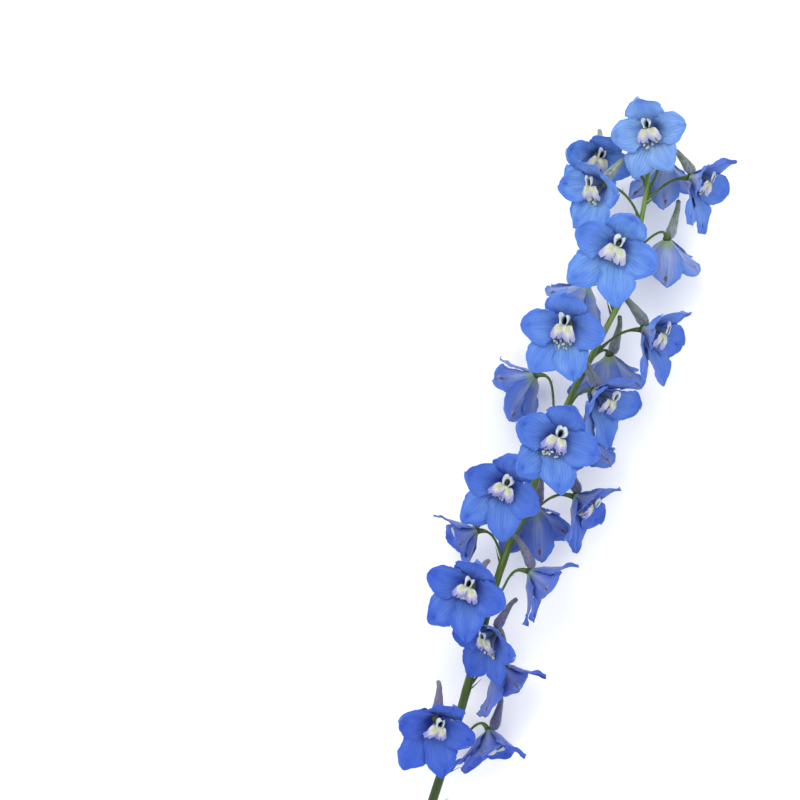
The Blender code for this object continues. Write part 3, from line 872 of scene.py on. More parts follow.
def receptacle_skin(fine):
    """A small bead, as rings whose radius follows a half circle."""
    half_turn = np.pi * np.linspace(0.02, 0.98, 12)
    height = RECEPTACLE_HEIGHT - RECEPTACLE_DEPTH * np.cos(half_turn)
    path = np.stack([0 * height, 0 * height, height], axis=1)
    points, quads, materials, places = swept_skin(
        path, RECEPTACLE_RADIUS * np.sin(half_turn), 18, RECEPTACLE_WRINKLE, fine.uniform(0, 6))
    return points, quads, materials + 1, places


spur_faces = spur_skin(random.Random(SEED))[1]
print("spur:", SPUR_LENGTH / MM, "mm long,", len(spur_faces), "faces before its ends are closed")


# %% Felted spur and green receptacle
def make_spur_felt():
    """Downy plant skin: matt and dusty, lavender blue at its root, grey green towards its blunt dark tip."""
    material, tree, shader = start_material(
        "spur_downy_skin", Roughness=0.8, IOR=1.4, Sheen_Weight=0.3, Sheen_Roughness=0.45,
        Specular_IOR_Level=0.2)
    spot = read_spot(tree)
    felt = object_noise(tree, 1400.0, 4.0, 0.65)
    aged = ramp(tree, spot.violet, 0.05, 0.3)
    root = mixed(tree, aged, plant("#A9B6C6"), plant("#8E93D0"))
    body = mixed(tree, aged, plant("#B6C4AE"), plant("#ABA9C6"))
    middle = mixed(tree, ramp(tree, spot.along, 0.12, 0.45), root, body)
    ground = mixed(tree, ramp(tree, spot.along, 0.4, 0.85), middle, plant("#A3B495"))
    streaks = streak_field(tree, spot, 1.7)
    streaked = mixed(tree, ramp(tree, streaks, 0.45, 0.7, 0.0, 0.8), ground, plant("#778A5C"))
    furrowed = mixed(tree, ramp(tree, streaks, 0.28, 0.44, 0.7, 0.0), streaked, plant("#6B757C"))
    older = mixed(tree, spot.violet, furrowed, plant("#675E96"))
    dusty = mixed(tree, ramp(tree, felt, 0.5, 0.75, 0.0, 0.6), older, plant("#CCD3D2"))
    wrinkles = ramp(tree, object_noise(tree, 420.0), 0.34, 0.52, 0.6, 0.0)
    worn = mixed(tree, wrinkles, dusty, plant("#66716B"))
    tipped = mixed(tree, ramp(tree, spot.along, 0.93, 1.0, 0.0, 0.6), worn, plant("#4A5A40"))
    coat(tree, shader, tipped, worked(tree, "MULTIPLY_ADD", felt, 0.4, streaks), 0.7, 0.6 * MM)
    return material


def make_receptacle_green():
    """The receptacle's skin: dark green, slightly waxy, yellower where the sepals leave it."""
    material, tree, shader = start_material(
        "receptacle_green", Roughness=0.5, IOR=1.42, Specular_IOR_Level=0.35)
    mottle = object_noise(tree, 700.0)
    ground = mixed(tree, mottle, plant("#1F3A14"), plant("#4A6A2A"))
    risen = mixed(tree, ramp(tree, read_spot(tree).along, 0.45, 0.8, 0.0, 0.8), ground, plant("#93A860"))
    coat(tree, shader, risen, mottle, 0.3, 0.3 * MM)
    return material


spur_felt = make_spur_felt()
receptacle_green = make_receptacle_green()
print("skins:", spur_felt.name, "and", receptacle_green.name)

# %% A spur for every floret
SPUR_SEED = 1300


def make_spur(number, floret):
    """A spur and a receptacle in one piece, with their ends closed."""
    fine = random.Random(SPUR_SEED + number)
    sheets = [spur_skin(fine), receptacle_skin(fine)]
    piece = make_piece(f"spur_{number:02d}", sheets, floret_matrix(floret), [spur_felt, receptacle_green],
                       [flower_draw(number)] * 2, sharp_angle=80)
    form = bmesh.new()
    form.from_mesh(piece.data)
    bmesh.ops.holes_fill(form, edges=form.edges[:], sides=0)
    bmesh.ops.recalc_face_normals(form, faces=form.faces[:])
    for face in form.faces:
        face.smooth = True
    form.to_mesh(piece.data)
    form.free()
    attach(piece, "root")
    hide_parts(f"calyx_{number:02d}")
    return piece


spurs = [make_spur(number, floret) for number, floret in enumerate(FLORETS, start=1)]
print("spurs:", len(spurs), "pieces,", sum(len(piece.data.polygons) for piece in spurs), "faces")

# %% [markdown]
# ## The white eye
#
# In the middle stand four true petals. The upper two curl round the dark way down to the spur: in a young
# flower as two ears that stand apart, in an older one almost as a ring. The lower two hang in front as
# small notched tongues: white, with a yellow patch, lilac at the rim and bearded with hairs. The dark of
# the tube and the blue grey at the petals' feet are painted shade. An upper petal is half a tube that
# flares into a lip. A lower one is a strap that follows a bent line and widens over the bend.

# %% Petals made from lines
EYE_THICKNESS = 0.3 * MM


def mirrored(front, back, place):
    """The left hand twin of a sheet: across is turned round, so that its front stays its front."""
    flip = np.array([-1.0, 1.0, 1.0])
    return (front * flip)[:, ::-1], (back * flip)[:, ::-1], (place * flip)[:, ::-1]


def both_sides(sheet, place, thickness):
    """The front and back of a sheet of points, half a thickness to each side of it."""
    normal = np.cross(np.gradient(sheet, axis=1), np.gradient(sheet, axis=0))
    normal /= np.linalg.norm(normal, axis=-1, keepdims=True)
    return sheet + normal * thickness / 2, sheet - normal * thickness / 2, place


def smooth_line(points, shares):
    """A smooth cubic line through all the points, at shares from 0 to 1."""
    padded = np.concatenate([[2 * points[0] - points[1]], points, [2 * points[-1] - points[-2]]])
    places = np.clip(shares, 0.0, 1.0) * (len(points) - 1)
    low = np.minimum(places.astype(int), len(points) - 2)
    step = (places - low)[..., None]
    a, b, c, d = (padded[low + offset] for offset in range(4))
    return 0.5 * (2 * b + (c - a) * step + (2 * a - 5 * b + 4 * c - d) * step ** 2
                  + (3 * b - a - 3 * c + d) * step ** 3)


line = smooth_line(np.array([(0.0, 0.0), (1.0, 1.0), (2.0, 0.0)]), np.array([0.0, 0.25, 0.5]))
print("a smooth line over three points runs through", line.round(2).tolist())

# %% Upper petals
# The tube from its seat to its rolled lip, as its radius and how far forward it is, in mm
UPPER_PROFILE = np.array([
    (0.9, 4.0), (1.3, 8.2), (1.6, 12.0), (1.75, 14.6), (2.4, 16.0), (3.4, 16.3), (3.9, 15.5),
]) * MM
THROAT_RADIUS = 1.6 * MM
# The throat is a slit: its radius is taken by these shares sideways and upwards
THROAT_SHARES = (0.58, 1.45)
UPPER_OFFSET = 0.15 * MM
# The tube's middle line rises from the first to the second height
UPPER_HEIGHTS = (2.0 * MM, 4.1 * MM)
LIP_SPREAD = 0.78
LIP_GROWTH = 1.4 * MM


def upper_petal(fine, size, closed):
    """The right upper petal: half a tube from the seat, whose lip rolls outwards. closed is 0 for two ears
    that stand apart at the top and 1 for a ring. At the foot both stay open."""
    share = np.linspace(0.0, 1.0, 27)[:, None]
    degrees = np.linspace(-68.0, 93.0, 23)[None, :]
    turn = np.radians(degrees)
    parted = (1 - closed) * ease(50.0, 90.0, degrees)
    foot = ease(20.0, 66.0, -degrees)
    reach = share * (1 - 0.4 * parted - 0.42 * foot)
    radius, ahead = np.moveaxis(smooth_line(UPPER_PROFILE, reach), -1, 0)
    lobe = np.exp(-((degrees - fine.uniform(10, 32) - 26 * (1 - closed)) / 34.0) ** 2)
    flare = ease(0.6, 1.0, reach)
    rounded = np.sqrt(np.clip((96.0 - degrees) / 9.0, 0.05, 1.0))
    lip = np.maximum(radius - THROAT_RADIUS, 0.0) * size * LIP_SPREAD * rounded * (0.85 + 0.75 * lobe)
    throat = np.minimum(radius, THROAT_RADIUS) * (1 + 0.2 * np.sin(5 * turn + fine.uniform(0, 6)) * flare)
    ruffle = 0.25 * np.sin(4 * turn + fine.uniform(0, 6)) - 0.5 * lobe
    forward = ahead + (ruffle * MM + LIP_GROWTH * (size - 1.0)) * flare
    height = UPPER_HEIGHTS[0] + (UPPER_HEIGHTS[1] - UPPER_HEIGHTS[0]) * share
    sheet = np.stack([UPPER_OFFSET + (THROAT_SHARES[0] * throat + lip) * np.cos(turn),
                      height + (THROAT_SHARES[1] * throat + lip) * np.sin(turn), forward], axis=-1)
    place = np.stack([degrees / 75.0 + 0 * share, reach, foot + 0 * share], axis=-1)
    return both_sides(sheet, place, EYE_THICKNESS)


print("upper petal:", upper_petal(random.Random(SEED), 1.0, 0.0)[0].shape[:2], "points")


# %% Lower petals
# The middle line of a lower petal as (across, up, forward), and its half widths along that line, in mm
LOWER_LINE = np.array([
    (0.9, -0.6, 4.1), (1.4, 0.2, 8.0), (1.8, 1.0, 11.8), (2.2, 1.2, 14.2), (2.8, -1.2, 15.4),
    (3.7, -4.6, 15.2), (4.7, -7.8, 14.2),
]) * MM
LOWER_HALF_WIDTHS = np.array([0.5, 0.7, 1.2, 2.4, 3.4, 4.0, 3.9]) * MM


def lower_petal(fine, ahead, toothed):
    """The right lower petal: a strap that bends over and hangs, toothed at its tip. ahead puts it forward."""
    share = np.linspace(0.0, 1.0, 31)[:, None]
    across = np.linspace(1.0, -1.0, 31)[None, :]
    limb = ease(0.45, 0.7, share)
    notch = 0.12 * np.exp(-((across - fine.uniform(-0.25, 0.25)) / 0.13) ** 2) * ease(0.7, 1.0, share)
    corners = 0.13 * np.abs(across) ** 3 * ease(0.6, 1.0, share)
    zigzag = np.abs((across * fine.uniform(2.0, 2.6) + fine.random()) % 1.0 - 0.5) * 2
    teeth = (0.03 + 0.08 * toothed) * (zigzag - 0.6) * ease(0.78, 1.0, share)
    reach = share * (1 - notch - corners + teeth)
    drift = np.array([fine.uniform(-0.4, 0.6), fine.uniform(-0.6, 0.4), ahead]) * MM
    line = smooth_line(LOWER_LINE, reach) + drift * limb[..., None]
    half = smooth_line(LOWER_HALF_WIDTHS[:, None], reach)[..., 0] * fine.uniform(0.92, 1.1)
    ruffle = 0.4 * limb * np.abs(across) ** 3 * np.sin(2 * np.pi * 3.2 * share + fine.uniform(0, 6))
    arch = 0.35 * limb * np.cos(across * 5) - 1.1 * limb * across ** 2
    forward = line[..., 2] + (arch + ruffle) * MM
    sheet = np.stack([line[..., 0] + half * across, line[..., 1], forward], axis=-1)
    place = np.stack([across + 0 * share, share + 0 * across, 1.0 + 0 * share + 0 * across], axis=-1)
    return both_sides(sheet, place, EYE_THICKNESS)


print("lower petal:", round(2 * LOWER_HALF_WIDTHS.max() / MM, 1), "mm wide at most")


# %% White, yellow and lilac of the eye
def make_upper_white():
    """Upper petal, outer side: thin white tissue with a breath of blue, and painted blue grey shade towards
    its foot. It shines a clean, soft white.
    """
    material, tree, shader = start_material(
        "eye_petal_white", Roughness=0.5, IOR=1.4, Subsurface_Weight=0.2, Subsurface_Scale=0.0008,
        Subsurface_Radius=(1.0, 1.0, 1.0), Specular_IOR_Level=0.3)
    spot = read_spot(tree)
    # Painted shade: blue grey towards the foot of the petal, deep in the flower
    ground = mixed(tree, ramp(tree, spot.along, 0.45, 0.8), plant("#7E96BC"), plant("#E6ECEA"))
    veins = times(tree, vein_field(tree, spot, 4.0, 0.3), 0.15)
    coat(tree, shader, mixed(tree, veins, ground, plant("#9CB0C8")))
    return material


def make_throat():
    """Upper petal, inner side: white on the rolled lip, then painted shade, blue grey and then nearly black
    down the tube towards the spur. The foot of the ring keeps the painted shade."""
    material, tree, shader = start_material(
        "eye_throat_painted_shade", Roughness=0.55, IOR=1.4, Specular_IOR_Level=0.25)
    spot = read_spot(tree)
    # Painted shade inside the tube: blue grey near the lip and darker further in, darkest in the middling
    # florets
    opened = mixed(tree, ramp(tree, spot.violet, 0.03, 0.2), plant("#3D5450"), plant("#12181B"))
    deep = mixed(tree, ramp(tree, spot.violet, 0.36, 0.46), opened, plant("#39434F"))
    dim = mixed(tree, ramp(tree, spot.along, 0.45, 0.66), deep, plant("#7A919E"))
    shade = ramp(tree, object_noise(tree, 420.0, 2.0), 0.42, 0.62, 0.0, 0.65)
    white = mixed(tree, shade, plant("#EEF2EE"), plant("#AFC0D2"))
    lip = times(tree, ramp(tree, spot.along, 0.6, 0.74), ramp(tree, spot.third, 0.1, 0.8, 1.0, 0.0))
    veins = times(tree, vein_field(tree, spot, 4.0, 0.4), 0.16)
    coat(tree, shader, mixed(tree, veins, mixed(tree, lip, dim, white), plant("#9DB0C6")))
    return material


def make_lower_white():
    """Lower petal: white, soft as blotting paper, with a yellow patch over the bend, a lilac rim and painted
    blue grey shade towards its foot.
    """
    material, tree, shader = start_material(
        "eye_petal_bearded", Roughness=0.65, IOR=1.4, Subsurface_Weight=0.2, Subsurface_Scale=0.0008,
        Subsurface_Radius=(1.0, 1.0, 1.0), Specular_IOR_Level=0.25, Sheen_Weight=0.15)
    spot = read_spot(tree)
    sources = {"Value": spot.along, "From Min": 0.6, "From Max": 1.0}
    down = add_node(tree, "ShaderNodeMapRange", sources).outputs[0]
    rim = worked(tree, "MULTIPLY_ADD", times(tree, spot.across, spot.across), 0.45, down)
    ragged = worked(tree, "MULTIPLY_ADD", object_noise(tree, 900.0), 0.5, rim)
    lilac = mixed(tree, ramp(tree, spot.violet, 0.02, 0.25), plant("#C4C6E6"), plant("#A5A2E2"))
    ground = mixed(tree, ramp(tree, ragged, 0.55, 1.15), plant("#EEF0E8"), lilac)
    from_patch = worked(tree, "ADD", spot.along, -0.62)
    offset = joined(tree, times(tree, spot.across, 1.5), times(tree, from_patch, 6.5), 0.0)
    distance = add_node(tree, "ShaderNodeVectorMath", {0: offset}, operation="LENGTH").outputs["Value"]
    yellowed = mixed(tree, ramp(tree, distance, 0.2, 1.05, 0.85, 0.0), ground, plant("#D9E08A"))
    # Painted shade: dark blue grey towards the foot of the petal, deep in the flower
    footed = mixed(tree, ramp(tree, spot.along, 0.25, 0.5, 0.9, 0.0), yellowed, plant("#5A668C"))
    veins = vein_field(tree, spot, 3.0, 0.3)
    coat(tree, shader, mixed(tree, times(tree, veins, 0.14), footed, plant("#9A94CC")), veins, 0.3, 0.2 * MM)
    return material


upper_white = make_upper_white()
throat_dark = make_throat()
lower_white = make_lower_white()
print("eye petals:", [material.name for material in (upper_white, throat_dark, lower_white)])

# %% An eye for every floret
EYE_SEED = 1700


def make_eye(number, floret):
    """Four petals. Eyes near the tip stand open, the next ones close, and the oldest wither a little."""
    fine = random.Random(EYE_SEED + number)
    ahead = fine.choice((-0.45, 0.45, 0.45))
    closed = 0.8 * float(ease(8, 14, number) * (1 - 0.6 * ease(16, 20, number)))
    withered = 1 - 0.2 * float(ease(16, 20, number))
    lips = [(fine.uniform(0.6, 0.74) + 0.22 * closed) * withered, fine.uniform(1.06, 1.2) * withered]
    if closed > 0.4:
        fine.shuffle(lips)
    sheets = []
    for make_petal, front, back, (right_hand, left_hand) in (
            (upper_petal, 0, 1, lips), (lower_petal, 2, 2, (ahead, -ahead))):
        sheets.append(thin_sheet(*make_petal(fine, right_hand, closed), front, back))
        sheets.append(thin_sheet(*mirrored(*make_petal(fine, left_hand, closed)), front, back))
    piece = make_piece(f"eye_petals_{number:02d}", sheets, floret_matrix(floret),
                       [upper_white, throat_dark, lower_white], [flower_draw(number)] * 4)
    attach(piece, "root")
    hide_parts(f"eye_{number:02d}")
    return piece


eyes = [make_eye(number, floret) for number, floret in enumerate(FLORETS, start=1)]
print("eyes:", len(eyes), "pieces,", sum(len(piece.data.polygons) for piece in eyes), "faces")

# %% [markdown]
# ## Stem and stalks with Geometry Nodes
#
# A stem is a ribbed tube whose girth changes along a line, which is just what Geometry Nodes do well: a
# line of points comes in, each point with its girth, and a ribbed ring is swept along it. The same tree
# makes the stem and the stalks, with other numbers. Afterwards the result becomes a plain mesh.

# %% The tree that sweeps a ribbed ring
def start_tree(name, inputs):
    """A tree for geometry with named inputs for its sizes and its material, and what its input gives."""
    tree = bpy.data.node_groups.new(name, "GeometryNodeTree")
    tree.interface.new_socket("Geometry", in_out="INPUT", socket_type="NodeSocketGeometry")
    for label, value in inputs.items():
        kind = "NodeSocketInt" if isinstance(value, int) else "NodeSocketFloat"
        tree.interface.new_socket(label, in_out="INPUT", socket_type=kind).default_value = value
    tree.interface.new_socket("Material", in_out="INPUT", socket_type="NodeSocketMaterial")
    tree.interface.new_socket("Geometry", in_out="OUTPUT", socket_type="NodeSocketGeometry")
    return tree, add_node(tree, "NodeGroupInput").outputs


def end_tree(tree, geometry, material):
    """Every tree ends alike: smooth faces, real geometry instead of instances, and the material."""
    smooth = add_node(tree, "GeometryNodeSetShadeSmooth", {"Geometry": geometry})
    real = add_node(tree, "GeometryNodeRealizeInstances", {"Geometry": smooth.outputs[0]})
    dressed = add_node(tree, "GeometryNodeSetMaterial", {"Geometry": real.outputs[0], "Material": material})
    add_node(tree, "NodeGroupOutput", {"Geometry": dressed.outputs[0]})
    return tree


def attribute(tree, name, kind):
    """What a named attribute of the incoming points holds."""
    return add_node(tree, "GeometryNodeInputNamedAttribute", {"Name": name}, data_type=kind).outputs[0]


def make_ribbed_tube_tree():
    tree, given = start_tree("ribbed_tube", {
        "Sides": 24, "Ribs": 9.0, "Rib Depth": 0.03, "Step Length": 0.002})
    line = add_node(tree, "GeometryNodeMeshToCurve", {"Mesh": given["Geometry"]})
    steps = {"Curve": line.outputs[0], "Length": given["Step Length"]}
    even = add_node(tree, "GeometryNodeResampleCurve", steps, mode="LENGTH")
    upright = add_node(tree, "GeometryNodeSetCurveNormal", {"Curve": even.outputs[0]}, mode="Z_UP")
    circle = {"Resolution": given["Sides"], "Radius": 1.0}
    ring = add_node(tree, "GeometryNodeCurvePrimitiveCircle", circle, mode="RADIUS")
    position = add_node(tree, "GeometryNodeInputPosition").outputs[0]
    x, y, _ = add_node(tree, "ShaderNodeSeparateXYZ", {0: position}).outputs
    wave = worked(tree, "COSINE", times(tree, worked(tree, "ARCTAN2", y, x), given["Ribs"]))
    growth = worked(tree, "MULTIPLY_ADD", wave, given["Rib Depth"], 1.0)
    pushed = add_node(tree, "ShaderNodeVectorMath", {0: position, "Scale": growth}, operation="SCALE")
    outline = {"Geometry": ring.outputs[0], "Position": pushed.outputs[0]}
    ribbed = add_node(tree, "GeometryNodeSetPosition", outline)
    tube = add_node(tree, "GeometryNodeCurveToMesh", {
        "Curve": upright.outputs[0], "Profile Curve": ribbed.outputs[0],
        "Scale": attribute(tree, "girth", "FLOAT"), "Fill Caps": True})
    return end_tree(tree, tube.outputs[0], given["Material"])


def print_inputs(tree):
    print(tree.name, "takes", [item.name for item in tree.interface.items_tree if item.in_out == "INPUT"])


ribbed_tube = make_ribbed_tube_tree()
print_inputs(ribbed_tube)


# %% From a line and a tree to a plain mesh
def grown_mesh(name, source, tree, values):
    """Runs a tree on a source mesh and gives back one plain object, with the modifier gone."""
    seedling = bpy.data.objects.new(name + "_seedling", source)
    scene.collection.objects.link(seedling)
    modifier = seedling.modifiers.new("growth", "NODES")
    modifier.node_group = tree
    for item in tree.interface.items_tree:
        if item.in_out == "INPUT" and item.name in values:
            modifier[item.identifier] = values[item.name]
    bpy.context.view_layer.update()
    evaluated = seedling.evaluated_get(bpy.context.evaluated_depsgraph_get())
    mesh = bpy.data.meshes.new_from_object(evaluated)
    mesh.name = name
    bpy.data.objects.remove(seedling, do_unlink=True)
    piece = bpy.data.objects.new(name, mesh)
    scene.collection.objects.link(piece)
    return piece


def line_mesh(name, lines, girths):
    """A mesh of open lines, with a girth on each point."""
    points, edges, widths = [], [], []
    for line, girth in zip(lines, girths):
        start = len(points)
        points.extend([tuple(point) for point in line])
        edges.extend((start + step, start + step + 1) for step in range(len(line) - 1))
        widths.extend(girth)
    mesh = bpy.data.meshes.new(name)
    mesh.from_pydata(points, edges, [])
    mesh.attributes.new("girth", "FLOAT", "POINT").data.foreach_set("value", np.array(widths, np.float32))
    return mesh


trial = line_mesh("trial_line", [[(0, 0, 0), (0, 0, MM)]], [[MM, MM]])
print("a trial line has", len(trial.vertices), "points and", len(trial.edges), "edge")
bpy.data.meshes.remove(trial)


# %% Stem and stalk skins
def make_stem_green():
    """Fresh stem skin: mid green and a little waxy, with pale and dark lines along it, and painted shade
    that darkens it towards its lower end.
    """
    material, tree, shader = start_material(
        "stem_skin_green", Roughness=0.42, IOR=1.42, Specular_IOR_Level=0.4, Subsurface_Weight=0.08,
        Subsurface_Scale=0.001, Subsurface_Radius=(0.5, 1.0, 0.3))
    coordinates = add_node(tree, "ShaderNodeTexCoord").outputs["Object"]
    stretched = add_node(tree, "ShaderNodeMapping", {"Vector": coordinates, "Scale": (700.0, 16.0, 700.0)})
    lines = noise(tree, stretched.outputs[0], 1.0)
    along = add_node(tree, "ShaderNodeSeparateXYZ", {0: coordinates}).outputs[1]
    # Painted shade: darker green towards the lower end of the stem, where its pale lines fade too
    sources = {"Value": along, "From Min": -0.13, "From Max": 0.2}
    height = add_node(tree, "ShaderNodeMapRange", sources).outputs[0]
    ground = mixed(tree, height, plant("#34501C"), plant("#82A542"))
    pale_lines = times(tree, ramp(tree, lines, 0.46, 0.68, 0.0, 0.6), height)
    lined = mixed(tree, pale_lines, ground, plant("#B3CC77"))
    shaded = mixed(tree, ramp(tree, lines, 0.3, 0.46, 0.45, 0.0), lined, plant("#55772A"))
    coat(tree, shader, shaded, lines, 0.25, 0.3 * MM)
    return material


def make_stalk_green():
    """Stalk skin: a darker, duller green than the stem, downy, with paler patches."""
    material, tree, shader = start_material(
        "stalk_skin_green", Roughness=0.55, IOR=1.42, Specular_IOR_Level=0.35, Sheen_Weight=0.1)
    ground = mixed(tree, object_noise(tree, 160.0), plant("#2E4A14"), plant("#6F9240"))
    patches = ramp(tree, object_noise(tree, 700.0), 0.5, 0.75, 0.0, 0.35)
    patched = mixed(tree, patches, ground, plant("#8EA860"))
    coat(tree, shader, patched, object_noise(tree, 1500.0), 0.3, 0.2 * MM)
    return material


stem_green = make_stem_green()
stalk_green = make_stalk_green()
print("skins:", stem_green.name, "and", stalk_green.name)

# %% The stem
# The solid stem has eight flat sides, and a round stem with this share of its radius fits inside them
INSIDE_SIDES = math.cos(math.pi / 8)
# The stem swells at each node by this share, over this length. Below the last place there are none
NODE_SWELLING = 0.09
NODE_LENGTH = 2.2 * MM
LOWEST_NODE = -0.1
axis = np.array([Vector(point) * MM - BOX_MIDDLE for point in STEM_AXIS])
stem_length = axis[-1][1] - axis[0][1]
stem_shares = np.linspace(0.0, 1.0, 180)
stem_line = smooth_line(axis, stem_shares)
thinning = np.clip((stem_line[:, 1] - axis[2][1]) / stem_length, 0.0, 1.0)
stem_girth = (STEM_END_RADIUS + (STEM_TIP_RADIUS - STEM_END_RADIUS) * thinning) * INSIDE_SIDES
stem_line[:, 2] = np.maximum(stem_line[:, 2], STEM_END_RADIUS * INSIDE_SIDES)
for floret in FLORETS:
    node = floret.attach * MM - BOX_MIDDLE.y
    near = np.exp(-((stem_line[:, 1] - node) / NODE_LENGTH) ** 2) * (stem_line[:, 1] > LOWEST_NODE)
    stem_girth *= 1 + NODE_SWELLING * near
stem_source = line_mesh("stem_line", [stem_line], [stem_girth])
fine_stem = grown_mesh("stem_skin", stem_source, ribbed_tube, {
    "Sides": 36, "Ribs": 9.0, "Rib Depth": 0.028, "Step Length": 0.0022, "Material": stem_green})
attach(fine_stem, "root")
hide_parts("stem")
print("stem:", len(fine_stem.data.polygons), "faces, girth", round(stem_girth.max() * 2000, 2), "mm at most")


# %% The flower stalks
STALK_SHARES = [0.0, 0.22, 0.5, 0.8, 1.0]
STALK_RADII = [1.25 * MM, 0.8 * MM, 0.75 * MM, 0.85 * MM, 1.75 * MM]
# The round stalk is drawn a little thinner than the solid one, so that it stays inside it
STALK_SLIMMING = 0.95
STALK_POINTS = 30
# The fine stalk reaches this far into the receptacle, so that no gap shows between them
SEAT_DEPTH = 0.6 * MM
SEAT_BACK = Vector((0.0, -1.2, -1.25)) * MM
SEAT_DIRECTION = Vector((0.0, 0.27, 0.963))


def stalk_control(floret):
    """The control points of a flower stalk, which arches from the stem to the back of the receptacle."""
    place = floret_matrix(floret)
    root = stem_point(floret.attach * MM)
    arrival = (place.to_3x3() @ SEAT_DIRECTION).normalized()
    seat = place @ SEAT_BACK + arrival * SEAT_DEPTH
    reach = (seat - root).length
    outward = seat - stem_point(floret.along * MM)
    outward.y = 0.0
    leave = (outward.normalized() * 0.6 + Vector((0.0, 0.8, 0.0))).normalized()
    return [root, root + leave * reach * 0.45, seat - arrival * reach * 0.4, seat]


def curve_points(control, count):
    """Points of the cubic curve through the first and last control points."""
    share = np.linspace(0.0, 1.0, count)[:, None]
    a, b, c, d = (np.array(point) for point in control)
    rest = 1 - share
    return a * rest ** 3 + 3 * b * rest ** 2 * share + 3 * c * rest * share ** 2 + d * share ** 3


stalk_lines, stalk_girths = [], []
for floret in FLORETS:
    stalk_lines.append(curve_points(stalk_control(floret), STALK_POINTS))
    share = np.linspace(0.0, 1.0, STALK_POINTS)
    stalk_girths.append(np.interp(share, STALK_SHARES, STALK_RADII) * STALK_SLIMMING)
stalks = grown_mesh("stalk_skins", line_mesh("stalk_lines", stalk_lines, stalk_girths), ribbed_tube, {
    "Sides": 14, "Ribs": 5.0, "Rib Depth": 0.05, "Step Length": 0.0011, "Material": stalk_green})
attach(stalks, "root")
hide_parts("stem")
print("stalks:", len(stalks.data.polygons), "faces")

# %% [markdown]
# ## Bracts
#
# Under each stalk, and twice along it, sits a bract: a narrow green blade. A small tree sets one and the
# same blade on each point, turned to the point's own aim and grown to its own size.

# %% The tree that sets narrow blades
def set_on_points(tree, given, item, size):
    """Sets an item on every incoming point, turned so that its Z follows the point's aim."""
    aim = {"Vector": attribute(tree, "aim", "FLOAT_VECTOR")}
    turn = add_node(tree, "FunctionNodeAlignRotationToVector", aim, axis="Z").outputs[0]
    sources = {"Points": given["Geometry"], "Instance": item, "Rotation": turn, "Scale": size}
    return add_node(tree, "GeometryNodeInstanceOnPoints", sources).outputs[0]


def make_blade_tree():
    tree, given = start_tree("narrow_blades", {
        "Width Share": 0.075, "Flatness": 0.35, "Bow": 0.12, "Sides": 8, "Steps": 9})
    cone = add_node(tree, "GeometryNodeMeshCone", {
        "Vertices": given["Sides"], "Side Segments": given["Steps"], "Radius Top": 0.35, "Radius Bottom": 0.8,
        "Depth": 1.0})
    position = add_node(tree, "GeometryNodeInputPosition").outputs[0]
    x, y, z = add_node(tree, "ShaderNodeSeparateXYZ", {0: position}).outputs
    wide = times(tree, times(tree, x, given["Width Share"]), ramp(tree, z, 0.35, 1.0, 1.0, 0.25))
    deep = times(tree, times(tree, y, given["Width Share"]), given["Flatness"])
    bowed = worked(tree, "MULTIPLY_ADD", times(tree, z, z), given["Bow"], deep)
    shape = {"Geometry": cone.outputs[0], "Position": joined(tree, wide, bowed, z)}
    blade = add_node(tree, "GeometryNodeSetPosition", shape).outputs[0]
    blades = set_on_points(tree, given, blade, attribute(tree, "size", "FLOAT"))
    return end_tree(tree, blades, given["Material"])


def point_mesh(name, points, aims, sizes):
    """Loose points, each with the way it aims and its size."""
    mesh = bpy.data.meshes.new(name)
    mesh.from_pydata([tuple(point) for point in points], [], [])
    mesh.attributes.new("aim", "FLOAT_VECTOR", "POINT").data.foreach_set(
        "vector", np.array([tuple(aim) for aim in aims], np.float32).ravel())
    mesh.attributes.new("size", "FLOAT", "POINT").data.foreach_set("value", np.array(sizes, np.float32))
    return mesh


narrow_blades = make_blade_tree()
print_inputs(narrow_blades)

# %% A bract under each stalk and two on it
BRACT_LENGTH = 13.0 * MM
# How far below its stalk a bract leaves the stem, in mm of the layout
BRACT_DROP = 3.0
# The points of a stalk that bear a small bract, and how long it is
STALK_BRACTS = ((17, 4.2 * MM), (25, 3.4 * MM))
# Bracts on the bare stem, as (along in mm of the layout, side in degrees)
BARE_BRACTS = [(6.0, 75.0), (-14.0, 60.0)]
roots, aims, sizes = [], [], []
for floret, line in zip(FLORETS, stalk_lines):
    control = stalk_control(floret)
    roots.append(stem_point((floret.attach - BRACT_DROP) * MM))
    aims.append((control[1] - control[0]).normalized())
    sizes.append(BRACT_LENGTH)
    chance = random.Random(int(floret.along * 10))
    for step, length in STALK_BRACTS:
        ahead = Vector(line[step + 1] - line[step - 1]).normalized()
        sideways = ahead.cross(Vector((chance.uniform(-1, 1), chance.uniform(-1, 1), 0.6))).normalized()
        roots.append(Vector(line[step]))
        aims.append((ahead + 0.7 * sideways).normalized())
        sizes.append(length * chance.uniform(0.8, 1.2))
for along, side in BARE_BRACTS:
    roots.append(stem_point(along * MM))
    aims.append(Vector((math.sin(math.radians(side)), 0.8, math.cos(math.radians(side)))).normalized())
    sizes.append(BRACT_LENGTH)
bracts = grown_mesh("bract_blades", point_mesh("bract_roots", roots, aims, sizes), narrow_blades, {
    "Width Share": 0.085, "Flatness": 0.4, "Bow": 0.1, "Material": stalk_green})
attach(bracts, "root")
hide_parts("stem")
print("bracts:", len(roots), "blades,", len(bracts.data.polygons), "faces")

# %% [markdown]
# ## Stamens, beard and felt
#
# Under the lower petals hang the stamens: thin pale filaments, each with a cream anther. The filaments
# are swept by the tree of the stem and the anthers are small beans set by a tree of their own. Two kinds
# of hair finish the flower: a white beard on each lower petal and a short felt on the spur. Both use the
# blade tree again, with few sides, because a hair is only a very narrow blade.

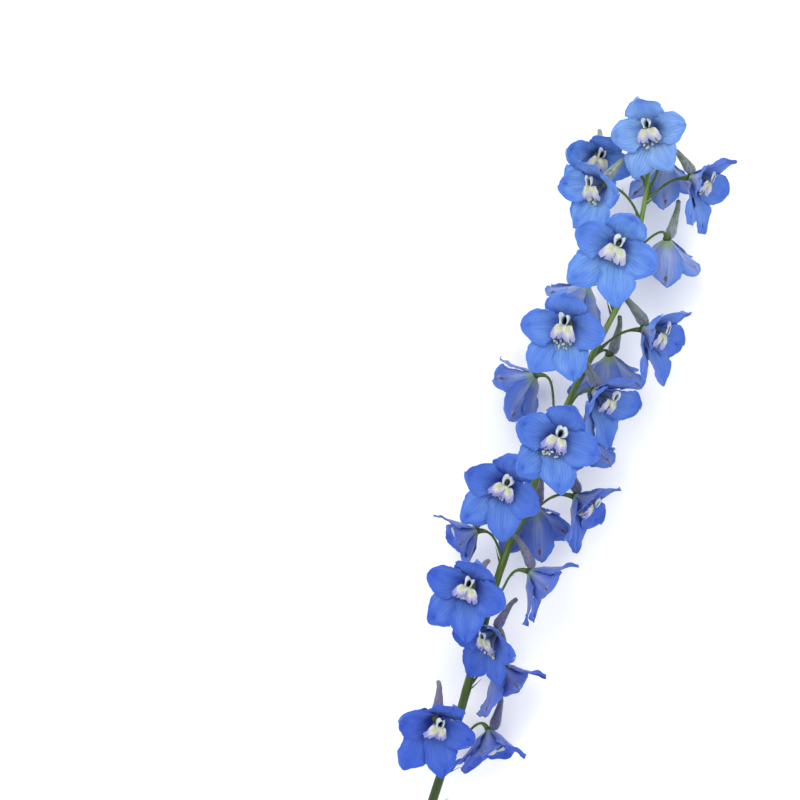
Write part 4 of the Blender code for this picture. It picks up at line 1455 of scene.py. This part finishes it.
# %% The tree that sets anthers
def make_bean_tree():
    tree, given = start_tree("anther_beans", {"Length Share": 1.5, "Seed": 4})
    ball = add_node(tree, "GeometryNodeMeshUVSphere", {"Segments": 10, "Rings": 7, "Radius": 1.0})
    stretch = {"Geometry": ball.outputs[0], "Scale": joined(tree, 0.8, 1.0, given["Length Share"])}
    bean = add_node(tree, "GeometryNodeTransform", stretch).outputs[0]
    limits = {"Min": (0.8, 0.8, 0.8), "Max": (1.2, 1.2, 1.2), "Seed": given["Seed"]}
    chance = add_node(tree, "FunctionNodeRandomValue", limits, data_type="FLOAT_VECTOR").outputs[0]
    sources = {0: chance, "Scale": attribute(tree, "size", "FLOAT")}
    size = add_node(tree, "ShaderNodeVectorMath", sources, operation="SCALE").outputs[0]
    return end_tree(tree, set_on_points(tree, given, bean, size), given["Material"])


anther_beans = make_bean_tree()
print_inputs(anther_beans)


# %% Soft tissue of stamens and hairs
def make_soft_tissue(name, low, high, scale):
    """Soft, matt plant tissue in two close tones, for filaments, anthers and hairs."""
    material, tree, shader = start_material(name, Roughness=0.7, IOR=1.4, Specular_IOR_Level=0.2)
    coat(tree, shader, mixed(tree, object_noise(tree, scale), plant(low), plant(high)))
    return material


anther_cream = make_soft_tissue("anther_pollen_cream", "#C9CFA8", "#F1F3E4", 900.0)
filament_pale = make_soft_tissue("filament_pale_tissue", "#9FB0C8", "#D3DEDC", 300.0)
beard_white = make_soft_tissue("beard_white_hair", "#E4E8D8", "#F4F6F2", 300.0)
down_grey = make_soft_tissue("spur_felt_hair", "#8F9AA6", "#BCC6C4", 300.0)
print("tissues:", [material.name for material in (anther_cream, filament_pale, beard_white, down_grey)])


# %% Stamens
STAMEN_SEED = 2100
# The stamens of one flower hang together or spread, by one of these shares
SPREADS = (0.62, 0.72, 1.0, 1.1)
ANTHER_RADIUS = 0.78 * MM
FILAMENT_GIRTH = 0.2 * MM
FILAMENT_POINTS = 9


def ride_root(piece):
    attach(piece, "root")
    return piece


filament_lines, filament_girths, anther_points, anther_aims, anther_sizes = [], [], [], [], []
for number, floret in enumerate(FLORETS, start=1):
    fine = random.Random(STAMEN_SEED + number)
    place = floret_matrix(floret)
    opened = fine.choice(SPREADS)
    for _ in range(fine.randint(8, 11)):
        sideways = fine.uniform(-5.0, 5.0) * opened
        tip = Vector((sideways, fine.uniform(-11.5, -7.0) * opened, fine.uniform(9.5, 13.0))) * MM
        knee = Vector((sideways * 0.6, tip.y / MM * 0.35, 9.5)) * MM
        control = [Vector((sideways * 0.3, -1.0, 2.4)) * MM, knee * 0.8, knee, tip]
        filament_lines.append([place @ Vector(point) for point in curve_points(control, FILAMENT_POINTS)])
        filament_girths.append(np.linspace(FILAMENT_GIRTH, 0.6 * FILAMENT_GIRTH, FILAMENT_POINTS))
        anther_points.append(place @ tip)
        anther_aims.append(place.to_3x3() @ Vector((fine.uniform(-1, 1), fine.uniform(-1, 1), 0.5)))
        anther_sizes.append(ANTHER_RADIUS * fine.uniform(0.75, 1.2))
filament_source = line_mesh("filament_lines", filament_lines, filament_girths)
filaments = grown_mesh("stamen_filaments", filament_source, ribbed_tube, {
    "Sides": 6, "Ribs": 0.0, "Rib Depth": 0.0, "Step Length": 0.0012, "Material": filament_pale})
anther_source = point_mesh("anther_points", anther_points, anther_aims, anther_sizes)
anthers = grown_mesh("anthers", anther_source, anther_beans, {
    "Length Share": 1.45, "Seed": 4, "Material": anther_cream})
for piece in (filaments, anthers):
    ride_root(piece)
print("stamens:", len(anther_points), "anthers,", len(anthers.data.polygons), "faces")


# %% Beard and felt
HAIR_SEED = 77
# The hairs of one lower petal and of one spur
BEARD_HAIRS = 44
FELT_HAIRS = 170
BEARD_LENGTH = 1.3 * MM
FELT_LENGTH = 0.5 * MM


def surface_roots(piece, material_index, low, high, count, fine):
    """Seeded spots with their normals, on a piece's faces of one material and between two shares along it."""
    shares = np.empty(len(piece.data.vertices) * 3, np.float32)
    piece.data.attributes["place"].data.foreach_get("vector", shares)
    along = shares.reshape(-1, 3)[:, 1]
    faces = [face for face in piece.data.polygons
             if face.material_index == material_index and low <= along[face.vertices[0]] <= high]
    spots = []
    for face in fine.choices(faces, weights=[face.area for face in faces], k=count):
        corner = piece.data.vertices[fine.choice(face.vertices[:])].co
        spots.append((face.center.lerp(corner, fine.uniform(0.0, 0.9)), face.normal.copy()))
    return spots


def hairs(name, spots, length, droop, width, material, fine):
    """Hairs on spots. droop is a way that all of them lean, next to their own chance."""
    points, aims, sizes = [], [], []
    for spot, normal in spots:
        chance = Vector((fine.uniform(-1, 1), fine.uniform(-1, 1), fine.uniform(-1, 1))) * 0.5
        points.append(spot)
        aims.append((normal + chance + droop).normalized())
        sizes.append(length * fine.uniform(0.6, 1.2))
    return grown_mesh(name, point_mesh(name + "_roots", points, aims, sizes), narrow_blades, {
        "Width Share": width, "Flatness": 1.0, "Bow": 0.25, "Sides": 3, "Steps": 2, "Material": material})


fine = random.Random(HAIR_SEED)
beard_spots = [spot for piece in eyes for spot in surface_roots(piece, 2, 0.5, 0.8, 2 * BEARD_HAIRS, fine)]
felt_spots = [spot for piece in spurs for spot in surface_roots(piece, 0, 0.1, 0.97, FELT_HAIRS, fine)]
beard = hairs("beard_hairs", beard_spots, BEARD_LENGTH, Vector((0, 0, 0.3)), 0.06, beard_white, fine)
down = hairs("spur_down", felt_spots, FELT_LENGTH, Vector((0, -0.3, 0.0)), 0.09, down_grey, fine)
ride_root(beard)
ride_root(down)
print("hairs:", len(beard_spots), "in beards,", len(felt_spots), "on spurs")

# %% Print the sizes and finish
dressed_box = [list(corner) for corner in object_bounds()]
for name, box in (("solid", solid_box), ("dressed", dressed_box)):
    print(name, [[round(value * 1000, 2) for value in corner] for corner in box])
